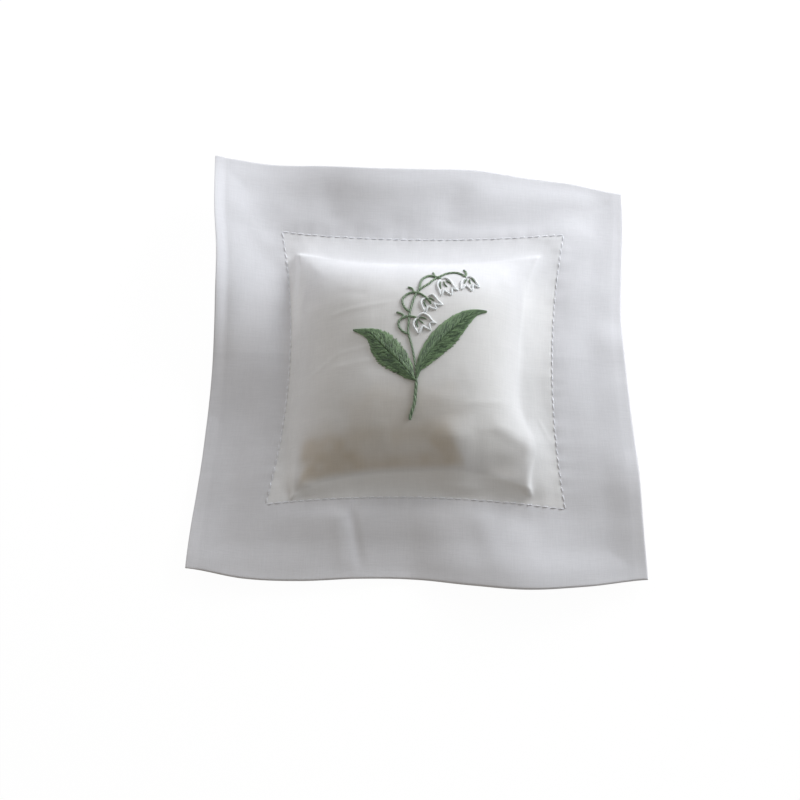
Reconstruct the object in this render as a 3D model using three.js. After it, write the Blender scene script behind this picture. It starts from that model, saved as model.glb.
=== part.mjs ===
// Scented sachet: a white linen cover with an embroidered sprig, a border of machine stitches
// and an envelope back, round a muslin pouch of dried lavender. It lies face up.
// Millimetres, +X to the right, +Y towards the top of the face, +Z up.
// A place on the cloth is given as (u, v): where it lay on the flat cut panel, from its centre.
import * as THREE from "three";

// Cover
const stitchedSize = 100;
const flangeWidth = 25;
const puffHeight = 24;
const stitchHeight = 4;
const restInset = 8;
const clothThickness = 0.25;
const layerGap = 0.25;
const seamAllowance = 4;
const seamInset = 0.4;
const foldRamp = 0.4;

// Draw-in of each stitched side at its middle
const drawInTop = 2.5;
const drawInBottom = 3.2;
const drawInLeft = 5.4;
const drawInRight = 4.2;
const cornerPower = 8;

// Envelope back: the upper panel lies outside, the lower panel lies under its free edge
const upperPanelEdge = -38;
const lowerPanelEdge = 3;
const hemWidth = 8;
const hemStitchInset = 7;
const flapSideInset = 4;
const flapSlit = 0.35;
const flapRootGap = 2;
const drapeLength = 4;

// Threads
const threadDiameter = 0.3;
const threadGap = 0.1;
const borderThreadShift = 0.5;
const threadSides = 4;

// Pouch of dried lavender, with the draw-in of each side at its middle, and its crown. The powers
// say how late the crown falls off to the sides, the lower side and the upper side.
const pouchInsetX = 8.75;
const pouchInsetY = 7.5;
const pouchShiftX = -1;
const pouchShiftY = -2.6;
const pouchDrawInTop = 4;
const pouchDrawInBottom = 6.2;
const pouchDrawInLeft = 0.8;
const pouchDrawInRight = 4.5;
const pouchSidePower = 2.5;
const pouchSeamHeight = 7;
const crownSidePower = 3;
const crownLowerPower = 2.6;
const crownUpperPower = 3.8;
const crownRoundness = 0.95;
const pouchBackRoundness = 0.52;
const muslinThickness = 0.2;
const pouchRimGap = 0.5;
const pouchClearance = 0.8;

// Embroidered sprig, whose points are read from the photograph, in its pixels
const sprigWidth = 44.5;
const sprigHeight = 47;
const sprigStretch = 0.22;
const sprigCentreX = 0.15;
const sprigForkY = -12.8;
const flossGap = 0.3;
const lowerStemDiameter = 1.2;
const stalkDiameter = 0.8;
const loopDiameter = 0.7;
const leafThickness = 0.8;
const leafEdgeThickness = 0.3;
const petalThickness = 0.5;
const flossSides = 6;
const sprigWidthPx = 132;
const sprigHeightPx = 148;
const sprigForkPx = [416, 383];

// How far the rim of the flange stands out from square, and how high it lifts off the table,
// as shares of the flange's width, at even steps from one corner to the next.
const topRimOffsetShares = [0.08, 0.04, 0.01, -0.05, -0.03, -0.01, -0.08, -0.17, -0.3];
const bottomRimOffsetShares = [-0.12, 0, 0.01, -0.04, -0.05, 0.045, 0.11, 0.035, -0.1];
const leftRimOffsetShares = [0.03, 0, -0.06, -0.1, -0.14, -0.165, -0.16, -0.07, 0];
const rightRimOffsetShares = [0.08, 0.03, -0.02, -0.09, -0.15, -0.2, -0.18, -0.15, -0.16];
const topRimLiftShares = [0.36, 0.22, 0.26, 0.32, 0.26, 0.18, 0.08, 0.05, 0.12];
const bottomRimLiftShares = [0.1, 0.08, 0.05, 0.02, 0, 0.18, 0.3, 0.2, 0.06];
const leftRimLiftShares = [0.1, 0.05, 0.01, 0, 0.06, 0.32, 0.5, 0.5, 0.36];
const rightRimLiftShares = [0.06, 0.16, 0.2, 0.12, 0.05, 0.03, 0.03, 0.06, 0.12];

// Step of the slopes and number of corrections that the surface functions take
const slopeStepShare = 0.002;
const planCorrections = 12;

// Grid lines of the puffed middle and the flange, as shares of their half width
const middleLineShares = [0, 0.24, 0.42, 0.56, 0.66, 0.74];
const flangeLineShare = 0.4;
const pouchLineShares = [0, 0.2, 0.4, 0.6, 0.76, 0.88, 0.96, 1];

const stitchHalf = stitchedSize / 2;
const coverHalf = stitchHalf + flangeWidth;
const restHalf = stitchHalf - restInset;
const threadRadius = threadDiameter / 2;
const seamLine = coverHalf - seamInset;
const allowanceLine = coverHalf - seamAllowance;
const innerStopLine = seamLine - threadRadius - threadGap;

// The stack of layers, measured up from the underside of the outer back cloth
const threadRoom = threadGap + threadDiameter + threadGap;
const outerHemTop = 2 * clothThickness;
const innerLevel = clothThickness + layerGap;
const innerOverHemLevel = outerHemTop + threadRoom;
const innerHemTop = innerLevel + 2 * clothThickness;
const frontLevel = Math.max(innerHemTop + threadRoom, innerOverHemLevel + innerLevel);
const rimThreadLevel = outerHemTop + threadGap + threadRadius;
const rimLevel = outerHemTop + threadRoom + clothThickness;
const overlapRimLevel = innerOverHemLevel + clothThickness + layerGap + clothThickness;
const pouchHalfX = stitchHalf - pouchInsetX;
const pouchHalfY = stitchHalf - pouchInsetY;
const overPouchSeam = pouchSeamHeight + pouchRimGap / 2 + muslinThickness + pouchClearance;
const crownRise = puffHeight - clothThickness - overPouchSeam;

const flapHalf = stitchHalf - flapSideInset;
const armLine = flapHalf + flapSlit;
const hemFoldLine = upperPanelEdge + hemWidth;
const lowerHemFoldLine = lowerPanelEdge - hemWidth;
const flapRoot = lowerPanelEdge + flapRootGap;
const drapeLine = upperPanelEdge - drapeLength;
const levelLine = (hemFoldLine + lowerHemFoldLine) / 2;

function smooth(t) {
  const c = Math.min(1, Math.max(0, t));
  return c * c * (3 - 2 * c);
}

function mix(a, b, t) {
  return a + (b - a) * t;
}

// Smooth curve through evenly spaced shares, read at -1 to 1.
function readShares(shares, place) {
  const last = shares.length - 1;
  const at = Math.min(1, Math.max(0, (place + 1) / 2)) * last;
  const i = Math.min(last - 1, Math.floor(at));
  const t = at - i;
  const pick = (k) => shares[Math.min(last, Math.max(0, k))];
  const slopeIn = (pick(i + 1) - pick(i - 1)) / 2;
  const slopeOut = (pick(i + 2) - pick(i)) / 2;
  const s = smooth(t);
  const bump = t * (1 - t);
  return mix(pick(i), pick(i + 1), s) + bump * ((1 - t) * slopeIn - t * slopeOut);
}

// Distance from the centre that is square along the sides and round at the corners
function squareNorm(u, v) {
  const sum = Math.pow(Math.abs(u), cornerPower) + Math.pow(Math.abs(v), cornerPower);
  return Math.pow(sum, 1 / cornerPower);
}

function flangeShare(distance) {
  return Math.min(1, Math.max(0, (Math.abs(distance) - stitchHalf) / flangeWidth));
}

// How far a stitched side is pulled in, and how far the rim stands out, along one axis
function sideShift(along, across, drawIn, rimShares) {
  const bow = Math.max(0, 1 - Math.pow(across / stitchHalf, 2));
  const inner = Math.pow(Math.min(1, Math.abs(along) / stitchHalf), 3);
  const w = flangeShare(along);
  const rim = readShares(rimShares, across / coverHalf) * flangeWidth;
  return mix(-drawIn * bow * inner, rim, w);
}

function planX(u, v) {
  const left = u < 0;
  const drawIn = left ? drawInLeft : drawInRight;
  const rimShares = left ? leftRimOffsetShares : rightRimOffsetShares;
  return u + Math.sign(u) * sideShift(u, v, drawIn, rimShares);
}

function planY(u, v) {
  const bottom = v < 0;
  const drawIn = bottom ? drawInBottom : drawInTop;
  const rimShares = bottom ? bottomRimOffsetShares : topRimOffsetShares;
  return v + Math.sign(v) * sideShift(v, u, drawIn, rimShares);
}

// Lift of the nearest stretch of rim, passing smoothly from one side to the next at the corners
function rimLift(u, v) {
  const wx = Math.pow(Math.abs(u), cornerPower);
  const wy = Math.pow(Math.abs(v), cornerPower);
  const side = u < 0 ? leftRimLiftShares : rightRimLiftShares;
  const end = v < 0 ? bottomRimLiftShares : topRimLiftShares;
  const sideLift = readShares(side, v / coverHalf);
  const endLift = readShares(end, u / coverHalf);
  return (flangeWidth * (wx * sideLift + wy * endLift)) / (wx + wy);
}

// Height of the back's underside over the flange, which starts level with the border stitches
function frameHeight(u, v) {
  const w = flangeShare(squareNorm(u, v));
  return w > 0 ? mix(stitchHeight, rimLift(u, v), smooth(w)) : stitchHeight;
}

function backHeight(u, v) {
  const norm = squareNorm(u, v);
  if (norm >= stitchHalf) {
    return frameHeight(u, v);
  }
  return stitchHeight * smooth((norm - restHalf) / (stitchHalf - restHalf));
}

// Draw-in of a side of the pouch, which is none at the corners
function pouchDrawIn(along, across, drawInBelow, drawInAbove) {
  const drawIn = along < 0 ? drawInBelow : drawInAbove;
  const bow = Math.max(0, 1 - Math.pow(Math.abs(across), pouchSidePower));
  return Math.sign(along) * drawIn * bow * Math.pow(Math.min(1, Math.abs(along)), 3);
}

// Place in the plan of a point of the pouch, given as shares of its half width and half length
function pouchPlan(s, t, inset) {
  const x = s * (pouchHalfX - inset) - pouchDrawIn(s, t, pouchDrawInLeft, pouchDrawInRight);
  const y = t * (pouchHalfY - inset) - pouchDrawIn(t, s, pouchDrawInBottom, pouchDrawInTop);
  return [pouchShiftX + x, pouchShiftY + y];
}

function pouchPlace(x, y) {
  let s = (x - pouchShiftX) / pouchHalfX;
  let t = (y - pouchShiftY) / pouchHalfY;
  for (let turn = 0; turn < planCorrections; turn += 1) {
    const [nearX, nearY] = pouchPlan(s, t, 0);
    s += (x - nearX) / pouchHalfX;
    t += (y - nearY) / pouchHalfY;
  }
  return [s, t];
}

function crown(s, t, roundness) {
  const endPower = t < 0 ? crownLowerPower : crownUpperPower;
  const across = Math.max(0, 1 - Math.pow(Math.abs(s), crownSidePower));
  const along = Math.max(0, 1 - Math.pow(Math.abs(t), endPower));
  return Math.pow(across * along, roundness);
}

// Level of the front cloth: at the rim its turned-in ply lies over the seam, or over the overlap.
function frontStack(u, v) {
  const nearRim = smooth((Math.max(Math.abs(u), Math.abs(v)) - stitchHalf) / (allowanceLine - stitchHalf));
  const overlapTop = smooth((flapRoot + hemWidth - v) / hemWidth);
  const overlapBottom = smooth((v - drapeLine + hemWidth) / hemWidth);
  const onSide = Math.abs(v) < allowanceLine ? overlapTop * overlapBottom : 0;
  return mix(frontLevel, mix(rimLevel, overlapRimLevel, onSide), nearRim);
}

// Underside of the front cloth: it lies over the pouch, and slopes from its seam to the border.
function frontHeight(u, v) {
  const base = frameHeight(u, v) + frontStack(u, v);
  const stitchShare = Math.max(Math.abs(u), Math.abs(v)) / stitchHalf;
  if (stitchShare >= 1) {
    return base;
  }
  const [s, t] = pouchPlace(planX(u, v), planY(u, v));
  const past = Math.max(Math.abs(s), Math.abs(t)) - 1;
  if (past <= 0) {
    return overPouchSeam + crownRise * crown(s, t, crownRoundness);
  }
  return mix(overPouchSeam, base, smooth(past / (past + (1 - stitchShare) * (1 + past))));
}

function frontUnder(u, v) {
  return new THREE.Vector3(planX(u, v), planY(u, v), frontHeight(u, v));
}

function surfaceNormal(surface, u, v) {
  const step = slopeStepShare * stitchHalf;
  const alongU = surface(u + step, v).sub(surface(u - step, v));
  const alongV = surface(u, v + step).sub(surface(u, v - step));
  return alongU.cross(alongV).normalize();
}

// A point over the face of the cover, at a distance measured square to the cloth
function overFront(u, v, distance) {
  const normal = surfaceNormal(frontUnder, u, v);
  return frontUnder(u, v).addScaledVector(normal, clothThickness + distance);
}

function backPoint(u, v, level) {
  return new THREE.Vector3(planX(u, v), planY(u, v), backHeight(u, v) + level);
}

// Extra thickness where the cloth's edge is turned in along the rim
function turnedIn(distance) {
  const share = (Math.abs(distance) - allowanceLine + foldRamp) / foldRamp;
  return clothThickness * Math.min(1, Math.max(0, share));
}

// Height of the lower panel over the outer back cloth: it lifts over the hem and over the
// turned-in edge, and drapes below the hem.
function lowerPanelLevel(u, v) {
  const pastHem = smooth((v - hemFoldLine) / (levelLine - hemFoldLine));
  const drape = smooth((v - drapeLine) / (upperPanelEdge - drapeLine));
  const level = mix(innerOverHemLevel, innerLevel, pastHem);
  return Math.max(level, innerLevel + turnedIn(u)) * drape;
}

// Flat place that lies over a point of the plan, found by a few repeated corrections
function flatPlace(x, y) {
  let u = x;
  let v = y;
  for (let turn = 0; turn < planCorrections; turn += 1) {
    const nextU = u + x - planX(u, v);
    const nextV = v + y - planY(u, v);
    u = nextU;
    v = nextV;
  }
  return [u, v];
}

// Closed solid over a grid: an upper and a lower face over the kept cells, and walls round them
function gridSolid(us, vs, low, high, keep = () => true) {
  const positions = [];
  const index = [];
  const known = new Map();
  const place = (i, j, top) => {
    const key = `${i},${j},${top}`;
    if (!known.has(key)) {
      const point = top ? high(us[i], vs[j]) : low(us[i], vs[j]);
      known.set(key, positions.length / 3);
      positions.push(point.x, point.y, point.z);
    }
    return known.get(key);
  };
  const cellKept = (i, j) => {
    const inside = i >= 0 && j >= 0 && i < us.length - 1 && j < vs.length - 1;
    return inside && keep((us[i] + us[i + 1]) / 2, (vs[j] + vs[j + 1]) / 2);
  };
  const quad = (a, b, c, d, turned) => {
    if (turned) {
      index.push(a, b, d, b, c, d);
    } else {
      index.push(a, b, c, a, c, d);
    }
  };
  const wall = (i0, j0, i1, j1) => {
    quad(place(i0, j0, false), place(i1, j1, false), place(i1, j1, true), place(i0, j0, true), false);
  };
  for (let i = 0; i < us.length - 1; i += 1) {
    for (let j = 0; j < vs.length - 1; j += 1) {
      if (cellKept(i, j)) {
        const turned = (us[i] + us[i + 1]) * (vs[j] + vs[j + 1]) < 0;
        const near = (top) => [place(i, j, top), place(i + 1, j, top)];
        const far = (top) => [place(i + 1, j + 1, top), place(i, j + 1, top)];
        const [a, b, c, d] = [...near(true), ...far(true)];
        quad(a, b, c, d, turned);
        const [e, f, g, h] = [...near(false), ...far(false)];
        quad(e, h, g, f, turned);
        if (!cellKept(i, j - 1)) wall(i, j, i + 1, j);
        if (!cellKept(i + 1, j)) wall(i + 1, j, i + 1, j + 1);
        if (!cellKept(i, j + 1)) wall(i + 1, j + 1, i, j + 1);
        if (!cellKept(i - 1, j)) wall(i, j + 1, i, j);
      }
    }
  }
  return solidGeometry(positions, index);
}

function solidGeometry(positions, index) {
  const geometry = new THREE.BufferGeometry();
  geometry.setAttribute("position", new THREE.Float32BufferAttribute(positions, 3));
  geometry.setIndex(index);
  geometry.computeVertexNormals();
  return geometry;
}

// Round thread along points, each with the direction that is up from the cloth there
function threadSolid(stops, radius, sides, closed) {
  const positions = [];
  const index = [];
  const count = stops.length;
  stops.forEach((stop, i) => {
    const before = stops[closed ? (i + count - 1) % count : Math.max(0, i - 1)].point;
    const after = stops[closed ? (i + 1) % count : Math.min(count - 1, i + 1)].point;
    const ahead = after.clone().sub(before).normalize();
    const side = ahead.clone().cross(stop.up).normalize();
    const up = side.clone().cross(ahead).normalize();
    for (let k = 0; k < sides; k += 1) {
      const turn = ((k + 0.5) / sides) * 2 * Math.PI;
      const point = stop.point.clone();
      point.addScaledVector(side, radius * Math.cos(turn));
      point.addScaledVector(up, radius * Math.sin(turn));
      positions.push(point.x, point.y, point.z);
    }
  });
  const spans = closed ? count : count - 1;
  for (let i = 0; i < spans; i += 1) {
    for (let k = 0; k < sides; k += 1) {
      const a = i * sides + k;
      const b = i * sides + ((k + 1) % sides);
      const c = ((i + 1) % count) * sides + ((k + 1) % sides);
      const d = ((i + 1) % count) * sides + k;
      index.push(a, c, b, a, d, c);
    }
  }
  if (!closed) {
    for (let k = 1; k < sides - 1; k += 1) {
      const end = (count - 1) * sides;
      index.push(0, k, k + 1);
      index.push(end, end + k + 1, end + k);
    }
  }
  return solidGeometry(positions, index);
}

function mirrored(lines) {
  const positive = lines.filter((line) => line > 0);
  return [...positive.map((line) => -line).reverse(), ...lines.filter((line) => line >= 0)];
}

// Lines of the cloth grids: the middle, the rise to the stitches, the flange and the folded edge
function coverLines() {
  const middle = middleLineShares.map((share) => share * stitchHalf);
  const flange = stitchHalf + flangeLineShare * flangeWidth;
  const rise = [restHalf, flapHalf, stitchHalf];
  const edge = [flange, allowanceLine - foldRamp, allowanceLine, coverHalf];
  return mirrored([...middle, ...rise, ...edge]);
}

function coverRows() {
  const sides = coverLines();
  const below = sides.filter((line) => line < drapeLine);
  const above = sides.filter((line) => line > flapRoot);
  const hem = [drapeLine, upperPanelEdge, hemFoldLine, levelLine];
  const overlapEnd = [lowerHemFoldLine, lowerPanelEdge, flapRoot];
  return [...below, ...hem, ...overlapEnd, ...above];
}

function finish(color, roughness) {
  return new THREE.MeshStandardMaterial({ color, roughness, metalness: 0 });
}

const linen = finish(0xe6e7ea, 0.9);
const muslin = finish(0xe9e4d6, 0.95);
const lavender = finish(0x8a7a5e, 1);
const whiteThread = finish(0xf4f4f4, 0.7);
const leafThread = finish(0x4e7d4c, 0.6);
const stalkThread = finish(0x7fa184, 0.6);
const petalThread = finish(0xfbfbfb, 0.55);

const sachet = new THREE.Group();

function addPiece(name, geometry, material, parent = sachet) {
  const mesh = new THREE.Mesh(geometry, material);
  mesh.name = name;
  parent.add(mesh);
}

function addFrontPanel() {
  const low = (u, v) => {
    const point = frontUnder(u, v);
    point.z -= Math.max(turnedIn(u), turnedIn(v));
    return point;
  };
  const high = (u, v) => overFront(u, v, 0);
  addPiece("front_panel", gridSolid(coverLines(), coverRows(), low, high), linen);
}

// The upper back panel without its free flap: it keeps the flange and two arms beside the flap.
function addUpperBackPanel() {
  const us = mirrored([...coverLines(), armLine].sort((a, b) => a - b));
  const rows = [...coverRows(), hemFoldLine + foldRamp, flapRoot + flapSlit];
  const vs = rows.filter((row) => row >= upperPanelEdge).sort((a, b) => a - b);
  const low = (u, v) => backPoint(u, v, 0);
  const high = (u, v) => {
    const hem = v <= hemFoldLine ? clothThickness : 0;
    return backPoint(u, v, clothThickness + Math.max(hem, turnedIn(u), turnedIn(v)));
  };
  const keep = (u, v) => Math.abs(u) > armLine || v > flapRoot + flapSlit;
  addPiece("back_panel_upper", gridSolid(us, vs, low, high, keep), linen);
}

function addFlap() {
  const us = coverLines().filter((line) => Math.abs(line) <= flapHalf);
  const rows = [...coverRows(), hemFoldLine + foldRamp];
  const vs = rows.filter((row) => row >= upperPanelEdge && row <= flapRoot).sort((a, b) => a - b);
  const low = (u, v) => backPoint(u, v, 0);
  const high = (u, v) => backPoint(u, v, clothThickness + (v <= hemFoldLine ? clothThickness : 0));
  addPiece("back_flap", gridSolid(us, vs, low, high), linen);
}

// The lower back panel reaches the rim below the flap, and stops at the seam beside it.
function addLowerBackPanel() {
  const rows = [...coverRows(), lowerHemFoldLine - foldRamp];
  const vs = rows.filter((row) => row <= lowerPanelEdge).sort((a, b) => a - b);
  const low = (u, v) => backPoint(u, v, lowerPanelLevel(u, v));
  const high = (u, v) => {
    const hem = v >= lowerHemFoldLine ? clothThickness : 0;
    const folded = v <= drapeLine ? Math.max(turnedIn(u), turnedIn(v)) : 0;
    return backPoint(u, v, lowerPanelLevel(u, v) + clothThickness + Math.max(hem, folded));
  };
  const keep = (u, v) => Math.abs(u) < innerStopLine || v < drapeLine;
  const us = mirrored([...coverLines(), armLine, innerStopLine].sort((a, b) => a - b));
  addPiece("back_panel_lower", gridSolid(us, vs, low, high, keep), linen);
}

// Places round a square ring, with a stop at each grid line so that it follows the cloth
function ringPlaces(half, us, vs) {
  const innerU = us.filter((line) => Math.abs(line) < half);
  const innerV = vs.filter((line) => Math.abs(line) < half);
  const bottom = innerU.map((u) => [u, -half]);
  const right = innerV.map((v) => [half, v]);
  const top = [...innerU].reverse().map((u) => [u, half]);
  const left = [...innerV].reverse().map((v) => [-half, v]);
  return [[-half, -half], ...bottom, [half, -half], ...right, [half, half], ...top, [-half, half], ...left];
}

function addSeamThreads() {
  const up = new THREE.Vector3(0, 0, 1);
  const rimPlaces = ringPlaces(seamLine, coverLines(), coverRows());
  const rim = rimPlaces.map(([u, v]) => ({ point: backPoint(u, v, rimThreadLevel), up }));
  addPiece("rim_seam_thread", threadSolid(rim, threadRadius, threadSides, true), whiteThread);

  const border = ringPlaces(stitchHalf + borderThreadShift, coverLines(), coverRows());
  const over = threadGap + threadRadius;
  const needle = border.map(([u, v]) => ({ point: overFront(u, v, over), up }));
  addPiece("border_needle_thread", threadSolid(needle, threadRadius, threadSides, true), whiteThread);
  const bobbin = border.map(([u, v]) => ({ point: backPoint(u, v, -over), up }));
  addPiece("border_bobbin_thread", threadSolid(bobbin, threadRadius, threadSides, true), whiteThread);
}

function addHemThread(name, v, level, from, to) {
  const up = new THREE.Vector3(0, 0, 1);
  const inside = coverLines().filter((line) => line > from && line < to);
  const stops = [from, ...inside, to].map((u) => ({ point: backPoint(u, v, level), up }));
  addPiece(name, threadSolid(stops, threadRadius, threadSides, false), whiteThread);
}

function addHemThreads() {
  const outerLevel = outerHemTop + threadGap + threadRadius;
  const innerThreadLevel = innerHemTop + threadGap + threadRadius;
  const outerRow = upperPanelEdge + hemStitchInset;
  const innerRow = lowerPanelEdge - hemStitchInset;
  addHemThread("flap_hem_thread", outerRow, outerLevel, -flapHalf, flapHalf);
  addHemThread("upper_hem_thread_left", outerRow, outerLevel, -allowanceLine, -armLine);
  addHemThread("upper_hem_thread_right", outerRow, outerLevel, armLine, allowanceLine);
  addHemThread("lower_hem_thread", innerRow, innerThreadLevel, -allowanceLine, allowanceLine);
}

// The pouch fills out its own crown, and the cover holds it in above and below.
const pouchBottom = frontLevel;

function pouchUpper(s, t, inset, rimLift) {
  const [x, y] = pouchPlan(s, t, inset);
  const [u, v] = flatPlace(x, y);
  const start = pouchSeamHeight + rimLift;
  const own = start + crownRise * crown(s, t, crownRoundness) - inset;
  const lid = frontHeight(u, v) - pouchClearance - inset;
  return new THREE.Vector3(x, y, Math.max(start, Math.min(own, lid)));
}

function pouchLower(s, t, inset, rimDrop) {
  const [x, y] = pouchPlan(s, t, inset);
  const [u, v] = flatPlace(x, y);
  const start = pouchSeamHeight - rimDrop;
  const own = start - (pouchSeamHeight - pouchBottom) * crown(s, t, pouchBackRoundness) + inset;
  const floor = Math.max(pouchBottom, backHeight(u, v) + frontLevel) + inset;
  return new THREE.Vector3(x, y, Math.min(start, Math.max(own, floor)));
}

function addPouch() {
  const lines = mirrored(pouchLineShares);
  const skin = muslinThickness;
  const halfGap = pouchRimGap / 2;
  const fillInset = skin + threadGap;
  const frontLow = (s, t) => pouchUpper(s, t, skin, halfGap);
  const frontHigh = (s, t) => pouchUpper(s, t, 0, halfGap + skin);
  addPiece("pouch_front", gridSolid(lines, lines, frontLow, frontHigh), muslin);
  const backLow = (s, t) => pouchLower(s, t, 0, halfGap + skin);
  const backHigh = (s, t) => pouchLower(s, t, skin, halfGap);
  addPiece("pouch_back", gridSolid(lines, lines, backLow, backHigh), muslin);
  const fillLow = (s, t) => pouchLower(s, t, fillInset + threadDiameter, threadGap);
  const fillHigh = (s, t) => pouchUpper(s, t, fillInset + threadDiameter, threadGap);
  addPiece("lavender_fill", gridSolid(lines, lines, fillLow, fillHigh), lavender);
}

function addPouchSeam() {
  const up = new THREE.Vector3(0, 0, 1);
  const lines = mirrored(pouchLineShares);
  const places = ringPlaces(1, lines, lines);
  const stops = places.map(([s, t]) => {
    const [x, y] = pouchPlan(s, t, 0);
    return { point: new THREE.Vector3(x, y, pouchSeamHeight), up };
  });
  addPiece("pouch_seam_thread", threadSolid(stops, threadRadius, threadSides, true), whiteThread);
}

// Embroidery. Each outline follows the photograph, from the fork of the leaves outwards. The
// photograph is taken at a slant, so what lies higher up on the crown looks shorter in it.
function sprigPlace([px, py]) {
  const u = sprigCentreX + ((px - sprigForkPx[0]) * sprigWidth) / sprigWidthPx;
  const share = (sprigForkPx[1] - py) / sprigHeightPx;
  return [u, sprigForkY + share * (1 + sprigStretch * share) * sprigHeight];
}

const leftLeafUpperPx = [
  [414, 373], [411, 362], [406, 353], [399, 345], [393, 338], [385, 332],
  [377, 330], [366, 329], [354, 329],
];
const leftLeafLowerPx = [
  [412, 380], [406, 378], [396, 373], [387, 368], [379, 362], [374, 354],
  [371, 345], [365, 337], [354, 331],
];
const rightLeafUpperPx = [
  [418, 373], [419, 365], [423, 356], [430, 342], [440, 329], [452, 319],
  [463, 312], [474, 310], [486, 311],
];
const rightLeafLowerPx = [
  [419, 379], [422, 371], [431, 363], [443, 354], [457, 343], [464, 332],
  [472, 321], [479, 315], [486, 313],
];
const lowerStemPx = [
  [415.5, 387], [415, 396], [414, 405], [411, 413], [409.6, 419],
];
const stalkPx = [
  [414, 357], [410, 339], [408, 330], [409, 318], [410, 310], [414, 301],
  [418, 292], [426, 286], [434, 280], [443, 275], [452, 273.4], [460, 274.4],
];
const loopOnePx = [
  [403.5, 331.5], [399.5, 328], [399, 322.5], [401, 319.5], [404.7, 317.6],
];
const loopTwoPx = [
  [405, 307.5], [402, 303], [403, 299], [407, 295], [411.5, 293.2],
];
const loopThreePx = [
  [419.5, 285], [422, 280], [425, 277.5], [429, 276.5],
];
const flowerOnePx = [
  [416, 316], [414, 323], [419, 334], [423.5, 328], [430, 330], [431, 325],
  [436, 322], [431, 319], [424, 315.5],
];
const flowerTwoPx = [
  [425, 297], [422, 304], [424, 312], [429, 307], [436, 308.5], [436.5, 304.5],
  [442, 304], [438, 299], [432, 296],
];
const flowerThreePx = [
  [440, 281], [437, 288], [440.6, 296], [445, 291.5], [451, 295], [452, 289.5],
  [457, 289], [453, 283.5], [447, 280.5],
];
const flowerFourPx = [
  [466, 280], [462, 284], [461, 289.5], [465.5, 287], [471, 291], [473, 286.5],
  [479, 286], [475, 281.5], [470, 279],
];

function addLeaf(name, upperPx, lowerPx) {
  const stations = upperPx.map((_, i) => i);
  const place = (station, share) => {
    const [u0, v0] = sprigPlace(lowerPx[station]);
    const [u1, v1] = sprigPlace(upperPx[station]);
    return [mix(u0, u1, share), mix(v0, v1, share)];
  };
  const low = (station, share) => overFront(...place(station, share), flossGap);
  const high = (station, share) => {
    const raised = mix(leafEdgeThickness, leafThickness, 4 * share * (1 - share));
    return overFront(...place(station, share), flossGap + raised);
  };
  const fromTip = [...stations].reverse();
  const order = upperPx[0][0] < upperPx[upperPx.length - 1][0] ? stations : fromTip;
  addPiece(name, gridSolid(order, [0, 0.5, 1], low, high), leafThread);
}

function addStem(name, pointsPx, diameter, material) {
  const curve = new THREE.CatmullRomCurve3(pointsPx.map((px) => new THREE.Vector3(...sprigPlace(px), 0)));
  const steps = 2 * (pointsPx.length - 1);
  const stops = curve.getPoints(steps).map((flat) => {
    const up = surfaceNormal(frontUnder, flat.x, flat.y);
    return { point: overFront(flat.x, flat.y, flossGap + diameter / 2), up };
  });
  addPiece(name, threadSolid(stops, diameter / 2, flossSides, false), material);
}

// A bell of white petals, sewn flat on the cloth
function addFlower(name, outlinePx) {
  const flat = outlinePx.map((px) => new THREE.Vector2(...sprigPlace(px)));
  if (THREE.ShapeUtils.isClockWise(flat)) {
    flat.reverse();
  }
  const faces = THREE.ShapeUtils.triangulateShape(flat, []);
  const count = flat.length;
  const positions = [];
  [flossGap, flossGap + petalThickness].forEach((height) => {
    flat.forEach((place) => {
      const point = overFront(place.x, place.y, height);
      positions.push(point.x, point.y, point.z);
    });
  });
  const index = [];
  faces.forEach(([a, b, c]) => {
    index.push(a + count, b + count, c + count, a, c, b);
  });
  for (let i = 0; i < count; i += 1) {
    const next = (i + 1) % count;
    index.push(i, next, next + count, i, next + count, i + count);
  }
  addPiece(name, solidGeometry(positions, index), petalThread);
}

function addSprig() {
  addLeaf("leaf_left", leftLeafUpperPx, leftLeafLowerPx);
  addLeaf("leaf_right", rightLeafUpperPx, rightLeafLowerPx);
  addStem("lower_stem", lowerStemPx, lowerStemDiameter, stalkThread);
  addStem("stalk", stalkPx, stalkDiameter, stalkThread);
  [loopOnePx, loopTwoPx, loopThreePx].forEach((pointsPx, i) => {
    addStem(`stalk_loop_${i + 1}`, pointsPx, loopDiameter, stalkThread);
  });
  [flowerOnePx, flowerTwoPx, flowerThreePx, flowerFourPx].forEach((outlinePx, i) => {
    addFlower(`flower_${i + 1}`, outlinePx);
  });
}

addFrontPanel();
addUpperBackPanel();
addFlap();
addLowerBackPanel();
addSeamThreads();
addHemThreads();
addPouch();
addPouchSeam();
addSprig();

// The frame's origin is on the table, under the middle of the cover's outline.
const outline = new THREE.Box3().setFromObject(sachet);
const middle = outline.getCenter(new THREE.Vector3());
sachet.position.set(-middle.x, -middle.y, 0);

export default sachet;
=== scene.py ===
# Scented sachet of sheer white linen: its cloths, stitches, embroidered sprig and lavender pouch.
# Lengths are in millimetres, as in the model, and turn into metres where a mesh is made.
# A place on the cover is (u, v): where it lay on the flat cut cloth, from the cover's centre.
import math

import bpy
import numpy as np
from mathutils import Matrix, Vector


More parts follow.
